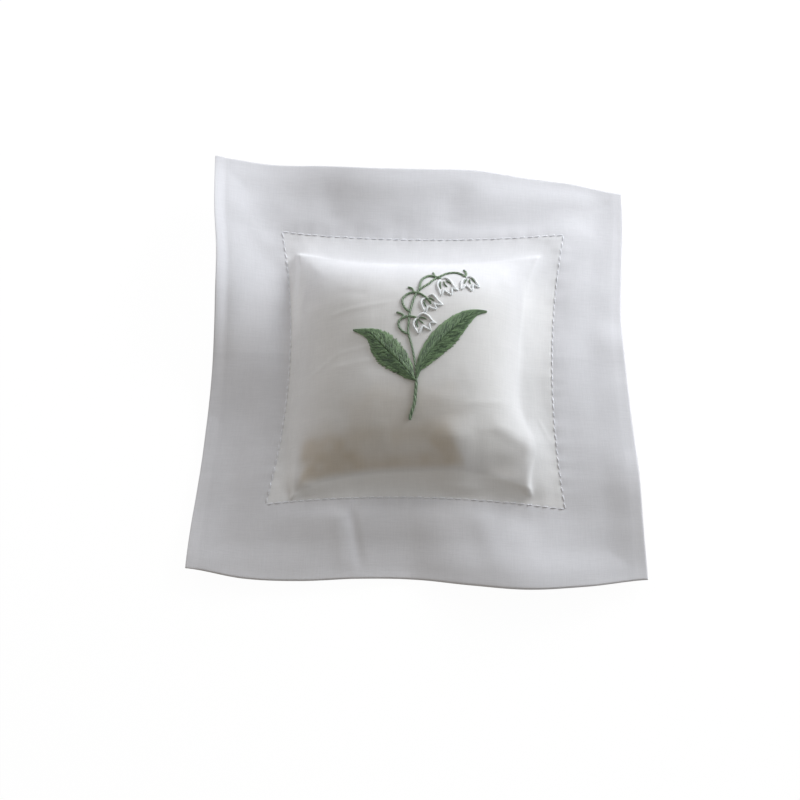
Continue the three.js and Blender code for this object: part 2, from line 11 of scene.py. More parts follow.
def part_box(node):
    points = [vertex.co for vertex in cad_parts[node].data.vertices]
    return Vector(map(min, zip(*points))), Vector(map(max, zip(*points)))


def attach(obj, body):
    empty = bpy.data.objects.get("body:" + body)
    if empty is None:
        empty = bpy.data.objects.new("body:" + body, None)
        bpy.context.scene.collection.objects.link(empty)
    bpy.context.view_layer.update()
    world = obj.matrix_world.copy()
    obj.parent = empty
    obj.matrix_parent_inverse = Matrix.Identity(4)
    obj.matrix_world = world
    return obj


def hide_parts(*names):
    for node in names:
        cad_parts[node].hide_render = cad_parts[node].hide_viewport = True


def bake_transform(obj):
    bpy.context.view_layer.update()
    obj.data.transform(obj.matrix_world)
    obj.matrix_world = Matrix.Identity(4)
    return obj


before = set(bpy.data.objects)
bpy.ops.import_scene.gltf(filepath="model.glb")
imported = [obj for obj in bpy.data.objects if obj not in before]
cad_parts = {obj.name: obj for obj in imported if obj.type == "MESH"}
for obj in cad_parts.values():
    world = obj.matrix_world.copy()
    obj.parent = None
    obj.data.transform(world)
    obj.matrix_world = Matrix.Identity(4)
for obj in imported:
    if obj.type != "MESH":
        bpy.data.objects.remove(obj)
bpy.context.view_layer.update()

MM = 0.001

# Cover, as in the model
STITCHED_SIZE = 100
FLANGE_WIDTH = 25
STITCH_HEIGHT = 4
REST_SIZE = 84
CLOTH = 0.25
SEAM_ALLOWANCE = 4
DRAW_IN_TOP = 2.5
DRAW_IN_BOTTOM = 3.2
DRAW_IN_LEFT = 5.4
DRAW_IN_RIGHT = 4.2
CORNER_POWER = 8
STITCH_HALF = STITCHED_SIZE / 2
COVER_HALF = STITCH_HALF + FLANGE_WIDTH
REST_HALF = REST_SIZE / 2
ALLOWANCE_LINE = COVER_HALF - SEAM_ALLOWANCE

# Envelope back: the upper panel lies outside, the lower panel lies under its free edge
UPPER_PANEL_EDGE = -38
LOWER_PANEL_EDGE = 3
HEM_WIDTH = 8
HEM_STITCH_INSET = 7
FLAP_ROOT = 5
DRAPE_LENGTH = 4
# How far to each side the lower panel reaches above its drape line
INNER_STOP = 74.3
HEM_FOLD = UPPER_PANEL_EDGE + HEM_WIDTH
LOWER_HEM_FOLD = LOWER_PANEL_EDGE - HEM_WIDTH
DRAPE_LINE = UPPER_PANEL_EDGE - DRAPE_LENGTH

# Rim of the flange, as shares of its width at even steps from one corner to the next
TOP_OFFSET_SHARES = [0.08, 0.04, 0.01, -0.05, -0.03, -0.01, -0.08, -0.17, -0.3]
BOTTOM_OFFSET_SHARES = [-0.12, 0, 0.01, -0.04, -0.05, 0.045, 0.11, 0.035, -0.1]
LEFT_OFFSET_SHARES = [0.03, 0, -0.06, -0.1, -0.14, -0.165, -0.16, -0.07, 0]
RIGHT_OFFSET_SHARES = [0.08, 0.03, -0.02, -0.09, -0.15, -0.2, -0.18, -0.15, -0.16]
TOP_LIFT_SHARES = [0.36, 0.22, 0.26, 0.32, 0.26, 0.18, 0.08, 0.05, 0.04]
BOTTOM_LIFT_SHARES = [0.1, 0.08, 0.05, 0.02, 0.0, 0.18, 0.3, 0.2, 0.06]
LEFT_LIFT_SHARES = [0.1, 0.05, 0.01, 0.0, 0.12, 0.37, 0.5, 0.5, 0.36]
RIGHT_LIFT_SHARES = [0.06, 0.16, 0.2, 0.12, 0.05, 0.03, 0.02, 0.03, 0.04]

# Random heights are read from a lattice this many points wide. A crease fades at its ends
LATTICE_SIZE = 128
CREASE_FADE_SHARE = 0.25

# How the layers lie on each other
LAYER_GAP = 0.06
FRONT_GAP = 0.1
PLY_RAMP = 1.2
OVERLAP_RAMP = 16
TURNED_RAMP = 9
CURL_LENGTH = 0.6
CURL_ROUNDNESS = 0.999
RIM_DROP = 0.42
LEFT_RIM_SHARE = 0.3
BACK_RIM_RISE = 0.22

# Grid of the cloths
MIDDLE_STEP = 0.5
FLANGE_STEP = 0.75
CURL_STEPS = 4
BACK_STEP = 1.0
HEM_RAMP = 0.3
HEM_ROUND = 0.5
HEM_EDGE_SHARE = 0.3

# Pouch: corners of its seam on the plan, clockwise from top left, and how its sides pull in
POUCH_TOP_LEFT = (-43.2, 40.4)
POUCH_TOP_RIGHT = (40.4, 40.2)
POUCH_BOTTOM_RIGHT = (37.2, -43.7)
POUCH_BOTTOM_LEFT = (-41.0, -47.4)
POUCH_PULL_TOP = 4.0
POUCH_PULL_RIGHT = 4.5
POUCH_PULL_BOTTOM = 6.2
POUCH_PULL_LEFT = 0.8
POUCH_SIDE_POWER = 2.5
POUCH_SEAM_HEIGHT = 5.9
POUCH_SEAM_LEAN_X = 0.6
POUCH_SEAM_LEAN_Y = 0.2
# Where the right side swells out: how far, its place along t and its half length
POUCH_BULGE = 4.9
POUCH_BULGE_AT = -0.66
POUCH_BULGE_LENGTH = 0.23
# Where the pouch's edge stands up: place along s and t, half widths, height
POUCH_EARS = [
    ((1.0, -0.8), (0.18, 0.3), 0.8),
    ((1.0, 1.0), (0.35, 0.3), -1.1),
    ((-0.86, 1.0), (0.3, 0.2), 0.2),
]
# Hollows of the filled pouch: centre on the plan, half widths, depth
POUCH_HOLLOWS = [
    ((31.5, -41), (7, 6.5), 2.0),
]
POUCH_RISE = 16.4
POUCH_CROWN_POWER = 3.0
POUCH_FRONT_POWER = 2.6
POUCH_BACK_POWER = 3.8
POUCH_CROWN_ROUNDNESS = 0.95
POUCH_LEAN = 0.16
POUCH_LEAN_EASE = 0.4
POUCH_FLOOR = 1.4
LUMP_SIZE = 15
LUMP_HEIGHT = 0.4
LUMP_START_SHARE = 0.25
MUSLIN = 0.2
POUCH_RIM_GAP = 0.3
POUCH_OVER_BACK = 1.15
LINEN_CLEARANCE = 0.45
POUCH_STEPS = 120
GATHER_HEIGHT = 0.35
GATHER_PACE = 60
GATHER_SLANT = 1.7
GATHER_FADE = 14
GATHER_RIM = 0.03
POUCH_STITCH_COUNT = 34
POUCH_STITCH_SHARE = 0.76
POUCH_THREAD_RADIUS = 0.13
POUCH_SEAM_SHADE = 0.6
FILL_INSET_SHARE = 0.965
FILL_UNDER_TOP = 1.2
FILL_OVER_BOTTOM = 1.0
FILL_RIM_GAP = 0.1
# Unevenness of the buds, and drift of the gathers: height, size, seed
GATHER_DRIFTS = [(2, 8, 61)]
FILL_LUMPS = [(0.35, 1.3, 71), (0.25, 3.1, 72)]
# The pouch's s and t are found by repeated corrections, and kept within a limit
PLACE_ROUNDS = 24
PLACE_PACE = 0.8
PLACE_LIMIT = 1.4
# How widely the cloth spans the pouch's edge, in general and at its crisp lower right corner,
# and that corner's place along s and t with its half widths
BRIDGE = 2.6
BRIDGE_AT_CORNER = 0.7
CRISP_CORNER = ((1, -0.8), (0.35, 0.45))

# Threads
STITCH_PITCH = 2.63
STITCH_LENGTH = 1.95
STITCH_RADIUS = 0.15
STITCH_SLANT = 0.14
STITCH_LIFT = 0.03
# Finer thread of the back, and how far its stitches stand out where the sachet rests on them
BACK_THREAD_SHARE = 0.9
BACK_ARCH_SHARE = 0.8
PRESSED_STITCH = 0.06
HEM_PITCH = 2.5
RIM_SEAM_INSET = 0.45
RIM_SEAM_RISE = 0.62
RIM_SEAM_STEPS = 150
RIM_THREAD_RADIUS = 0.09
RIM_SEAM_SHADE = 0.5
FLOSS_RADIUS = 0.21

# Photograph's view
CAMERA_AZIMUTH = 9.519
CAMERA_ELEVATION = 71.208
CAMERA_ROLL = -8.205
CAMERA_DISTANCE = 500
CAMERA_TARGET = (-6.277, -10.963, 0)
CAMERA_LENS = 65.155
CAMERA_CLIP_START = 0.01

PHOTO_SIZE_PX = 800
SENSOR_WIDTH = 36

# Sprig, whose points are read from the photograph, in its pixels, and found on the cloth by
# repeated corrections
SPRIG_ROUNDS = 12
CURVE_STEPS = 400
SPRIG_FORK = (0, -13)
SPRIG_FORK_PX = (416, 383)
LEFT_LEAF_UPPER_PX = [
    (415.5, 379), (413.4, 369), (409.5, 359), (404.3, 349.8), (398.4, 341.9),
    (391.6, 335.6), (383, 330.8), (375.2, 329.1), (366, 329), (354, 330),
]
LEFT_LEAF_LOWER_PX = [
    (415, 381), (407, 379), (398, 374), (389, 369.5), (381, 364.5),
    (375, 358), (371, 350), (368, 341), (362, 335), (354, 331),
]
RIGHT_LEAF_UPPER_PX = [
    (415.4, 377), (416.4, 368), (418.6, 357), (423, 346.5), (429, 337), (436.5, 328.5),
    (445, 321), (454.5, 315), (463.5, 311.2), (474, 310), (486, 311.5),
]
RIGHT_LEAF_LOWER_PX = [
    (417.5, 379), (421, 371), (427, 366), (435, 360), (443.5, 354), (451, 347.5),
    (457.5, 341), (463, 333), (469, 324.5), (477, 315.5), (486, 312.5),
]
LOWER_STEM_PX = [(416.5, 381), (415.5, 392), (414.5, 403), (412, 411), (409.6, 419)]
STALK_PX = [
    (416.4, 380), (416, 370), (413.8, 356), (411.5, 345), (409, 336), (408, 330), (408.8, 322),
    (409.3, 315), (411, 308), (413.5, 300), (416, 294.5), (419, 290.6), (424, 287), (429, 284),
    (434, 280), (440, 277), (446, 274.5), (452, 273.4), (459, 274), (464, 276.6),
]
LOOP_PX = [
    [(407.5, 334), (402, 331), (399, 327), (398.6, 322.5), (401, 319), (405, 317), (411, 316.6),
     (416, 317.8)],
    [(409, 311.5), (405, 308.3), (402.4, 303), (403, 298.5), (407, 294.7), (412, 292.9),
     (417, 292.9), (422, 295), (426, 298), (430.5, 302.5)],
    [(419, 290.6), (420, 285.5), (421.8, 280.5), (425, 278), (429, 276.6), (434.5, 277.3),
     (440.5, 279)],
]
HOOK_PX = [
    [(404.5, 318.5), (402.5, 314.6), (397, 312.6)],
    [(413.8, 292.4), (412, 289), (408.3, 287.8)],
    [(434, 277.4), (434, 275.6), (433.2, 273.6)],
    [(465, 278), (466, 273.6), (463.8, 271.2)],
]
BELL_OUTLINE_PX = [
    [
        [(416.5, 318), (413.9, 322), (413.7, 326), (416, 330), (418.2, 334.4)],
        [(418.2, 334.4), (420.6, 330.6), (422.5, 326)],
        [(422.5, 326), (426, 328), (430.4, 330.4)],
        [(430.4, 330.4), (429.6, 326.6), (429.5, 323.1)],
        [(429.5, 323.1), (432.9, 323), (436.2, 323.1)],
        [(436.2, 323.1), (431.7, 320.3), (428.3, 316.3), (424.9, 314.3), (421.2, 314),
         (416.5, 318)],
    ],
    [
        [(426, 298.6), (422.6, 299.6), (421.1, 303), (422.8, 308), (424.9, 312.8)],
        [(424.9, 312.8), (427, 309.4), (428.2, 306.6)],
        [(428.2, 306.6), (432, 308.6), (436.4, 309.4)],
        [(436.4, 309.4), (435.2, 305.9), (433.7, 303.2)],
        [(433.9, 303.6), (438, 305.2), (443, 304.5)],
        [(443, 304.5), (438.1, 301), (434.6, 296.7), (431.7, 294.7), (428.6, 296.4)],
    ],
    [
        [(441, 279.6), (438, 282.6), (437.6, 287), (439.4, 291), (440.6, 296)],
        [(440.6, 296), (443, 292.7), (443.9, 289.7)],
        [(443.9, 289.7), (447, 292.9), (451.2, 295.2)],
        [(451.2, 295.2), (452, 291.6), (451.5, 288.5)],
        [(451.5, 288.5), (454.6, 290), (458, 290.2)],
        [(458, 290.2), (453.9, 287), (451.3, 282.8), (447.8, 279.5), (444, 278.6), (441, 279.6)],
    ],
    [
        [(465, 278.4), (461.8, 282), (461, 285.8), (461, 290.2)],
        [(461, 290.2), (463.9, 287.8), (465.6, 285.5)],
        [(465.6, 285.5), (468.6, 288.4), (471.6, 291.6)],
        [(471.6, 291.6), (472.4, 288.3), (472.5, 285)],
        [(472.5, 285), (475.6, 287), (479.8, 287.6)],
        [(479.8, 287.6), (476.8, 284), (474.3, 280), (470.8, 277.8), (467.4, 277.4), (465, 278.4)],
    ],
]
BELL_STROKE_PX = [
    [
        [(417.4, 319.4), (416.6, 323), (417.9, 327.4)],
        [(418.4, 319), (420.6, 321.4), (423.4, 323.4)],
        [(419, 318), (422.4, 317.8), (426.4, 319.2)],
    ],
    [
        [(424.7, 300.4), (424.4, 303.4), (426, 306.6)],
        [(427.6, 299.8), (429.6, 302.4), (431.2, 304)],
        [(428.9, 298), (431, 298.8), (434, 300.6)],
    ],
    [
        [(440.6, 282.2), (440.2, 285.6), (440.8, 288.8)],
        [(443.8, 281.6), (444.6, 284.8), (447.2, 287.2)],
        [(446.1, 280.8), (448.2, 282.6), (450.9, 283.6)],
    ],
    [
        [(466.8, 279.3), (465.6, 281.4), (464.5, 283.6)],
        [(469.4, 279.8), (469.4, 282), (470.4, 284.2)],
        [(471.2, 278.8), (473, 280.6), (474.6, 282.6)],
    ],
]


def box_centre(node):
    low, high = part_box(node)
    return np.array((low + high) / 2) / MM


# From the cover's centre to the frame's origin, told by the border's stitching round the centre
border_centre = box_centre("border_needle_thread")
COVER_SHIFT = np.array([border_centre[0], border_centre[1], 0])


def smooth(t):
    c = np.clip(t, 0, 1)
    return c * c * (3 - 2 * c)


def mix(a, b, t):
    return a + (b - a) * t


def fade_in(value, start, length):
    return smooth((value - start) / length)


def hump(*offsets):
    """From 1 at a middle to 0 far from it, by the half widths that a place is off each way."""
    return np.exp(-sum(offset ** 2 for offset in offsets))


def unit(vectors):
    return vectors / np.maximum(np.linalg.norm(vectors, axis=-1, keepdims=True), 1e-9)


def curve_at(points, t):
    """Smooth curve through points, read at shares 0 to 1 of their number."""
    points = np.asarray(points, float)
    last = len(points) - 1
    at = np.clip(t, 0, 1) * last
    i = np.minimum(last - 1, np.floor(at).astype(int))
    f = (at - i)[..., None]

    def pick(k):
        return points[np.clip(k, 0, last)]

    a, b, c, d = pick(i - 1), pick(i), pick(i + 1), pick(i + 2)
    return b + 0.5 * f * (c - a + f * (2 * a - 5 * b + 4 * c - d + f * (3 * (b - c) + d - a)))


def read_shares(shares, place):
    """Smooth curve through evenly spaced shares, read at -1 to 1."""
    return curve_at(np.array(shares)[:, None], (place + 1) / 2)[..., 0]


def farther(u, v):
    """Distance from the centre to the square line through a place."""
    return np.maximum(np.abs(u), np.abs(v))


def square_norm(u, v):
    return (np.abs(u) ** CORNER_POWER + np.abs(v) ** CORNER_POWER) ** (1 / CORNER_POWER)


def flange_share(distance):
    return np.clip((np.abs(distance) - STITCH_HALF) / FLANGE_WIDTH, 0, 1)


def side_shift(along, across, draw_in, rim_shares):
    bow = np.maximum(0, 1 - (across / STITCH_HALF) ** 2)
    inner = np.minimum(1, np.abs(along) / STITCH_HALF) ** 3
    rim = read_shares(rim_shares, across / COVER_HALF) * FLANGE_WIDTH
    return mix(-draw_in * bow * inner, rim, flange_share(along))


def plan(u, v):
    """Where a place of the cloth lies, seen from above."""
    left = side_shift(u, v, DRAW_IN_LEFT, LEFT_OFFSET_SHARES)
    right = side_shift(u, v, DRAW_IN_RIGHT, RIGHT_OFFSET_SHARES)
    bottom = side_shift(v, u, DRAW_IN_BOTTOM, BOTTOM_OFFSET_SHARES)
    top = side_shift(v, u, DRAW_IN_TOP, TOP_OFFSET_SHARES)
    x = u + np.sign(u) * np.where(u < 0, left, right)
    y = v + np.sign(v) * np.where(v < 0, bottom, top)
    return x, y


def rim_lift(u, v):
    wx = np.abs(u) ** CORNER_POWER
    wy = np.abs(v) ** CORNER_POWER
    side = np.where(u < 0, read_shares(LEFT_LIFT_SHARES, v / COVER_HALF),
                    read_shares(RIGHT_LIFT_SHARES, v / COVER_HALF))
    end = np.where(v < 0, read_shares(BOTTOM_LIFT_SHARES, u / COVER_HALF),
                   read_shares(TOP_LIFT_SHARES, u / COVER_HALF))
    return FLANGE_WIDTH * (wx * side + wy * end) / np.maximum(wx + wy, 1)


def frame_height(u, v):
    """Height of the flange's underside, level with the border stitches at its inner edge."""
    w = flange_share(square_norm(u, v))
    return mix(STITCH_HEIGHT, rim_lift(u, v), smooth(w))


def back_height(u, v):
    norm = square_norm(u, v)
    inside = STITCH_HEIGHT * smooth((norm - REST_HALF) / (STITCH_HALF - REST_HALF))
    return np.where(norm >= STITCH_HALF, frame_height(u, v), inside) + shared_relief(u, v)


def between(values, i, j, along, across):
    """Value between four neighbours of a grid, from i, j on."""
    near = mix(values[i, j], values[i + 1, j], along)
    far = mix(values[i, j + 1], values[i + 1, j + 1], along)
    return mix(near, far, across)


def grid(rows, columns):
    return np.meshgrid(rows, columns, indexing="ij")


def random_lumps(x, y, size, seed):
    """Smooth random heights from -1 to 1, about size across, the same in each run."""
    lattice = np.random.default_rng(seed).uniform(-1, 1, (LATTICE_SIZE, LATTICE_SIZE))
    gx = np.asarray(x) / size + LATTICE_SIZE / 2
    gy = np.asarray(y) / size + LATTICE_SIZE / 2
    i = np.clip(np.floor(gx).astype(int), 0, LATTICE_SIZE - 2)
    j = np.clip(np.floor(gy).astype(int), 0, LATTICE_SIZE - 2)
    return between(lattice, i, j, smooth(gx - i), smooth(gy - j))


def unevenness(x, y, lumps):
    """Sum of random heights, each with its height, size and seed."""
    return sum(height * random_lumps(x, y, size, seed) for height, size, seed in lumps)


def crease(u, v, start, end, width, height):
    """Soft ridge, or with a negative height a valley, along a line that fades at its ends."""
    start = np.array(start, float)
    along = np.array(end, float) - start
    length = np.hypot(*along)
    t = ((u - start[0]) * along[0] + (v - start[1]) * along[1]) / length ** 2
    off = ((u - start[0]) * -along[1] + (v - start[1]) * along[0]) / length
    fade = smooth(t / CREASE_FADE_SHARE) * smooth((1 - t) / CREASE_FADE_SHARE)
    return height * fade * hump(off / width)


# Folds of the whole flange: start, end, width, height
FLANGE_FOLDS = [
    ((62, 22), (84, 62), 6, 0.5),
    ((60, 11), (100, 11), 6, 1.0),
    ((8, 64), (70, 67), 5.5, 1.1),
    ((-44, -57), (16, -57), 9, 0.6),
    ((-80, 10), (-80, 100), 9, 2.6),
    ((-22, -51), (-17, -74), 1.8, -0.55),
    ((-26, -51), (-23, -74), 2.6, 0.35),
    ((20, -52), (30, -72), 4, 0.3),
    ((-52, 40), (-72, 62), 4, 0.35),
    ((-30, 52), (-38, 74), 5, -0.4),
    ((8, 52), (14, 72), 6, -0.4),
]

# Sway of the whole flange: height, size, seed
FLANGE_SWAYS = [(0.5, 21, 11), (0.2, 9, 12)]
# The left rim stands up a little over its upper half
LEFT_LIP = 2.2
LEFT_LIP_AT = 36
LEFT_LIP_LENGTH = 30

# Puckers beside the border stitching: height, reach to its sides, turns of the wave, and how
# much of them stays where they are weakest
PUCKER_HEIGHT = 0.12
PUCKER_REACH = 3.2
PUCKER_PACE = 0.98
PUCKER_SHARE = 0.6
# Height, size and seed of what drifts and swells them, and their shift on the sides and the ends
PUCKER_DRIFTS = [(2.6, 9, 3)]
PUCKER_SWELLS = [(0.6, 12, 5)]
PUCKER_SHIFTS = (3, 2)
# Start and length of their fades, before the corners and inside the stitching
PUCKER_CORNER_FADE = (1 - STITCH_HALF, 8)
PUCKER_INNER_FADE = (-6, 4)
# Where the flange's folds have come up, and what is left of them at its rim
FOLD_START_SHARE = 0.25
FOLD_RIM_SHARE = 0.55

# Groove that the border stitches pull into the front cloth, and its fine wrinkles
GROOVE_DEPTH = 0.07
GROOVE_WIDTH = 0.7
GROOVE_OVERRUN = 0.5
WRINKLE_HEIGHT = 0.05
WRINKLE_SIZE = 3.4
WRINKLE_STRETCH = 0.45
WRINKLE_FADE = 6

# Creases of the pillow's face, which the front cloth has alone
FACE_CREASES = [
    ((-34, 12.5), (-6, 16.5), 0.8, 0.09),
    ((-36, 10), (-14, 13), 1.4, -0.05),
    ((-40, -8), (-26, -1), 0.9, 0.09),
    ((-31, -2), (-7, 1.5), 0.8, 0.08),
    ((-32, -6.5), (-6, -3.5), 0.9, 0.07),
    ((-30, 22), (-16, 19), 1.3, -0.08),
    ((14, -19), (33, -16), 1.3, 0.1),
    ((18, -27), (36, -25), 1.5, 0.1),
    ((-42, 38), (-32, 28), 2.0, 0.12),
    ((-40, -45), (-31, -33), 2.0, 0.15),
    ((39.0, -20), (37.8, -52), 1.8, 0.22),
    ((24, -23), (43, -32), 2.6, 0.3),
    ((42.5, -18), (50.5, -31.5), 0.8, 0.12),
    ((12, -22), (15, -54), 7, 1.5),
    ((-20, -38), (-8, -35), 2.6, -0.2),
]


def shared_relief(u, v):
    """Ripples and folds near and beyond the border stitching, alike in every layer."""
    beyond = farther(u, v) - STITCH_HALF
    across = np.minimum(np.abs(u), np.abs(v))
    shift_u, shift_v = PUCKER_SHIFTS
    along = np.where(np.abs(u) > np.abs(v), v + shift_u * np.sign(u), u + shift_v * np.sign(v))
    drift = unevenness(along, beyond * 0.2, PUCKER_DRIFTS)
    height = PUCKER_HEIGHT * (PUCKER_SHARE + unevenness(along, u * 0.1, PUCKER_SWELLS))
    beside = fade_in(-across, *PUCKER_CORNER_FADE) * fade_in(beyond, *PUCKER_INNER_FADE)
    near = np.exp(-np.abs(beyond) / PUCKER_REACH) * beside
    puckers = np.sin(along * PUCKER_PACE + drift) * height * near
    w = flange_share(square_norm(u, v))
    folds = unevenness(u, v, FLANGE_SWAYS) + sum(crease(u, v, *fold) for fold in FLANGE_FOLDS)
    folds = smooth(w / FOLD_START_SHARE) * folds * mix(1, FOLD_RIM_SHARE, smooth(w))
    beyond_line = fade_in(-u, ALLOWANCE_LINE, SEAM_ALLOWANCE)
    lip = LEFT_LIP * beyond_line * hump((v - LEFT_LIP_AT) / LEFT_LIP_LENGTH)
    return np.maximum(puckers + folds + lip, -frame_height(u, v))


def band(v, low, high, ramp=PLY_RAMP):
    return smooth((v - low + ramp) / ramp) * smooth((high - v + ramp) / ramp)


def turned_in(u, v, ramp=PLY_RAMP):
    return smooth((farther(u, v) - ALLOWANCE_LINE + ramp) / ramp)


def lower_level(u, v):
    """Height of the lower panel over the outer back cloth."""
    over_hem = band(v, DRAPE_LINE, HEM_FOLD)
    level = CLOTH + LAYER_GAP + CLOTH * np.maximum(over_hem, turned_in(u, 0 * v))
    return level * fade_in(v, DRAPE_LINE, DRAPE_LENGTH)


def front_level(u, v):
    """Height of the front cloth over the back's underside, where it lies on the layers below."""
    overlap = band(v, UPPER_PANEL_EDGE, LOWER_PANEL_EDGE, OVERLAP_RAMP)
    layers = CLOTH + overlap * (2 * CLOTH + LAYER_GAP)
    return layers + FRONT_GAP + 2 * CLOTH * turned_in(u, v, TURNED_RAMP)


def rim_curl(u, v):
    """From 0 to 1 over the last of the cloth, as it rolls over at the rim."""
    t = np.clip((farther(u, v) - COVER_HALF + CURL_LENGTH) / CURL_LENGTH, 0, 1)
    return 1 - np.sqrt(1 - t ** 2 * CURL_ROUNDNESS)


def cloth_lines(middle_step, flange_step):
    middle = np.linspace(-STITCH_HALF, STITCH_HALF, round(STITCHED_SIZE / middle_step) + 1)
    curl = COVER_HALF - CURL_LENGTH
    flange = np.linspace(STITCH_HALF, curl, round((curl - STITCH_HALF) / flange_step) + 1)[1:]
    edge = np.linspace(curl, COVER_HALF, CURL_STEPS + 1)[1:]
    outer = np.concatenate([flange, edge])
    return np.concatenate([-outer[::-1], middle, outer])


def with_lines(lines, *extra):
    return np.unique(np.round(np.concatenate([lines, np.array(extra, float)]), 4))


def middles(lines):
    return (lines[:-1] + lines[1:]) / 2


# Pouch

def side_pull(across, along, low_pull, high_pull):
    """How far a side of the pouch is drawn in, most at its middle."""
    pull = np.sign(across) * np.where(across < 0, low_pull, high_pull) * np.abs(across) ** 3
    return pull * np.maximum(0, 1 - np.abs(along) ** POUCH_SIDE_POWER)


def pouch_plan(s, t):
    """Plan of the pouch: s and t run from -1 to 1 across and along it."""
    corners = np.array([[POUCH_BOTTOM_LEFT, POUCH_TOP_LEFT], [POUCH_BOTTOM_RIGHT, POUCH_TOP_RIGHT]])
    along, across = ((at[..., None] + 1) / 2 for at in (s, t))
    x, y = np.moveaxis(between(corners, 0, 0, along, across), -1, 0)
    bulge = POUCH_BULGE * hump((t - POUCH_BULGE_AT) / POUCH_BULGE_LENGTH) * np.clip(s, 0, 1) ** 3
    x = x - side_pull(s, t, POUCH_PULL_LEFT, POUCH_PULL_RIGHT) + bulge
    y = y - side_pull(t, s, POUCH_PULL_BOTTOM, POUCH_PULL_TOP)
    return x, y


def pouch_place(x, y):
    """The s and t of a point of the plan, by a few repeated corrections."""
    half_x = (POUCH_TOP_RIGHT[0] - POUCH_TOP_LEFT[0]) / 2
    half_y = (POUCH_TOP_RIGHT[1] - POUCH_BOTTOM_RIGHT[1]) / 2
    s = x / half_x
    t = y / half_y
    for _ in range(PLACE_ROUNDS):
        px, py = pouch_plan(s, t)
        s = np.clip(s + PLACE_PACE * (x - px) / half_x, -PLACE_LIMIT, PLACE_LIMIT)
        t = np.clip(t + PLACE_PACE * (y - py) / half_y, -PLACE_LIMIT, PLACE_LIMIT)
    return s, t


def pouch_dome(s, t):
    """From 1 at the pouch's middle to 0 at its seam, and below 0 outside."""
    across = 1 - np.abs(s) ** POUCH_CROWN_POWER
    along = 1 - np.abs(t) ** np.where(t < 0, POUCH_FRONT_POWER, POUCH_BACK_POWER)
    inside = (np.maximum(0, across) * np.maximum(0, along)) ** POUCH_CROWN_ROUNDNESS
    return np.where((across > 0) & (along > 0), inside, np.minimum(across, along))


def pouch_seam_height(s, t):
    height = POUCH_SEAM_HEIGHT + POUCH_SEAM_LEAN_X * s + POUCH_SEAM_LEAN_Y * t
    for (at_s, at_t), (wide, long), rise in POUCH_EARS:
        height = height + rise * hump((s - at_s) / wide, (t - at_t) / long)
    return height


def pouch_height(s, t):
    dome = pouch_dome(s, t)
    lean = 1 + POUCH_LEAN * t * (1 - POUCH_LEAN_EASE * t * t)
    return pouch_seam_height(s, t) + POUCH_RISE * dome * lean


def pouch_lumps(x, y, s, t):
    """Unevenness of the fill, alike in the pouch and in the cloth over it."""
    relief = LUMP_HEIGHT * random_lumps(x, y, LUMP_SIZE, 21)
    for (cx, cy), (rx, ry), depth in POUCH_HOLLOWS:
        relief = relief - depth * hump((x - cx) / rx, (y - cy) / ry)
    return relief * smooth(np.maximum(0, pouch_dome(s, t)) / LUMP_START_SHARE)


def pouch_upper(s, t):
    x, y = pouch_plan(s, t)
    return x, y, pouch_height(s, t) + pouch_lumps(x, y, s, t)


def pouch_lower(s, t):
    x, y = pouch_plan(s, t)
    seam = pouch_seam_height(s, t)
    return x, y, seam - (seam - POUCH_FLOOR) * pouch_dome(s, t)


def grid_normals(points):
    return unit(np.cross(np.gradient(points, axis=0), np.gradient(points, axis=1)))


def draped(u, v, x, y, edge):
    """Height of loose cloth that is held by the border stitching and lies over the pouch."""
    s, t = pouch_place(x, y)
    out = square_norm(s, t)
    stitch = np.minimum(1, square_norm(u, v) / STITCH_HALF)
    away = np.clip((out - 1) / np.maximum(out - 1 + (1 - stitch) * out, 1e-6), 0, 1)
    over_seam = pouch_seam_height(np.clip(s, -1, 1), np.clip(t, -1, 1)) + LINEN_CLEARANCE + CLOTH
    apron = mix(over_seam, edge, smooth(away))
    over_pouch = pouch_height(s, t) + pouch_lumps(x, y, s, t) + LINEN_CLEARANCE + CLOTH
    (at_s, at_t), (wide, long) = CRISP_CORNER
    corner = hump((s - at_s) / wide, (t - at_t) / long)
    bridge = mix(BRIDGE, BRIDGE_AT_CORNER, corner) * (1 - smooth(away))
    return (apron + over_pouch + np.sqrt((apron - over_pouch) ** 2 + bridge ** 2)) / 2


def front_grid():
    """The front cloth's upper face: its lines, points and normals."""
    lines = cloth_lines(MIDDLE_STEP, FLANGE_STEP)
    u, v = grid(lines, lines)
    x, y = plan(u, v)
    height = frame_height(u, v) + front_level(u, v) + CLOTH
    first = int(np.argmin(np.abs(lines + STITCH_HALF)))
    last = int(np.argmin(np.abs(lines - STITCH_HALF)))
    middle = (slice(first, last + 1), slice(first, last + 1))
    height[middle] = draped(u[middle], v[middle], x[middle], y[middle], height[middle])
    height = height + shared_relief(u, v)
    points = np.stack([x, y, height], 2)
    beyond = farther(u, v) - STITCH_HALF
    held = np.minimum(np.abs(u), np.abs(v)) < STITCH_HALF + GROOVE_OVERRUN
    groove = -GROOVE_DEPTH * hump(beyond / GROOVE_WIDTH) * held
    inner = smooth(-beyond / WRINKLE_FADE)
    wrinkles = (random_lumps(u * WRINKLE_STRETCH, v, WRINKLE_SIZE, 31)
                + random_lumps(u, v * WRINKLE_STRETCH, WRINKLE_SIZE, 32))
    creases = sum(crease(u, v, *line) for line in FACE_CREASES)
    relief = groove + inner * (WRINKLE_HEIGHT * wrinkles + creases)
    points = points + grid_normals(points) * relief[..., None]
    drop = RIM_DROP * rim_curl(u, v)
    points[..., 2] -= drop * mix(1, LEFT_RIM_SHARE, smooth(-u - ALLOWANCE_LINE))
    return lines, points, grid_normals(points)


front_lines, front_points, front_normals = front_grid()


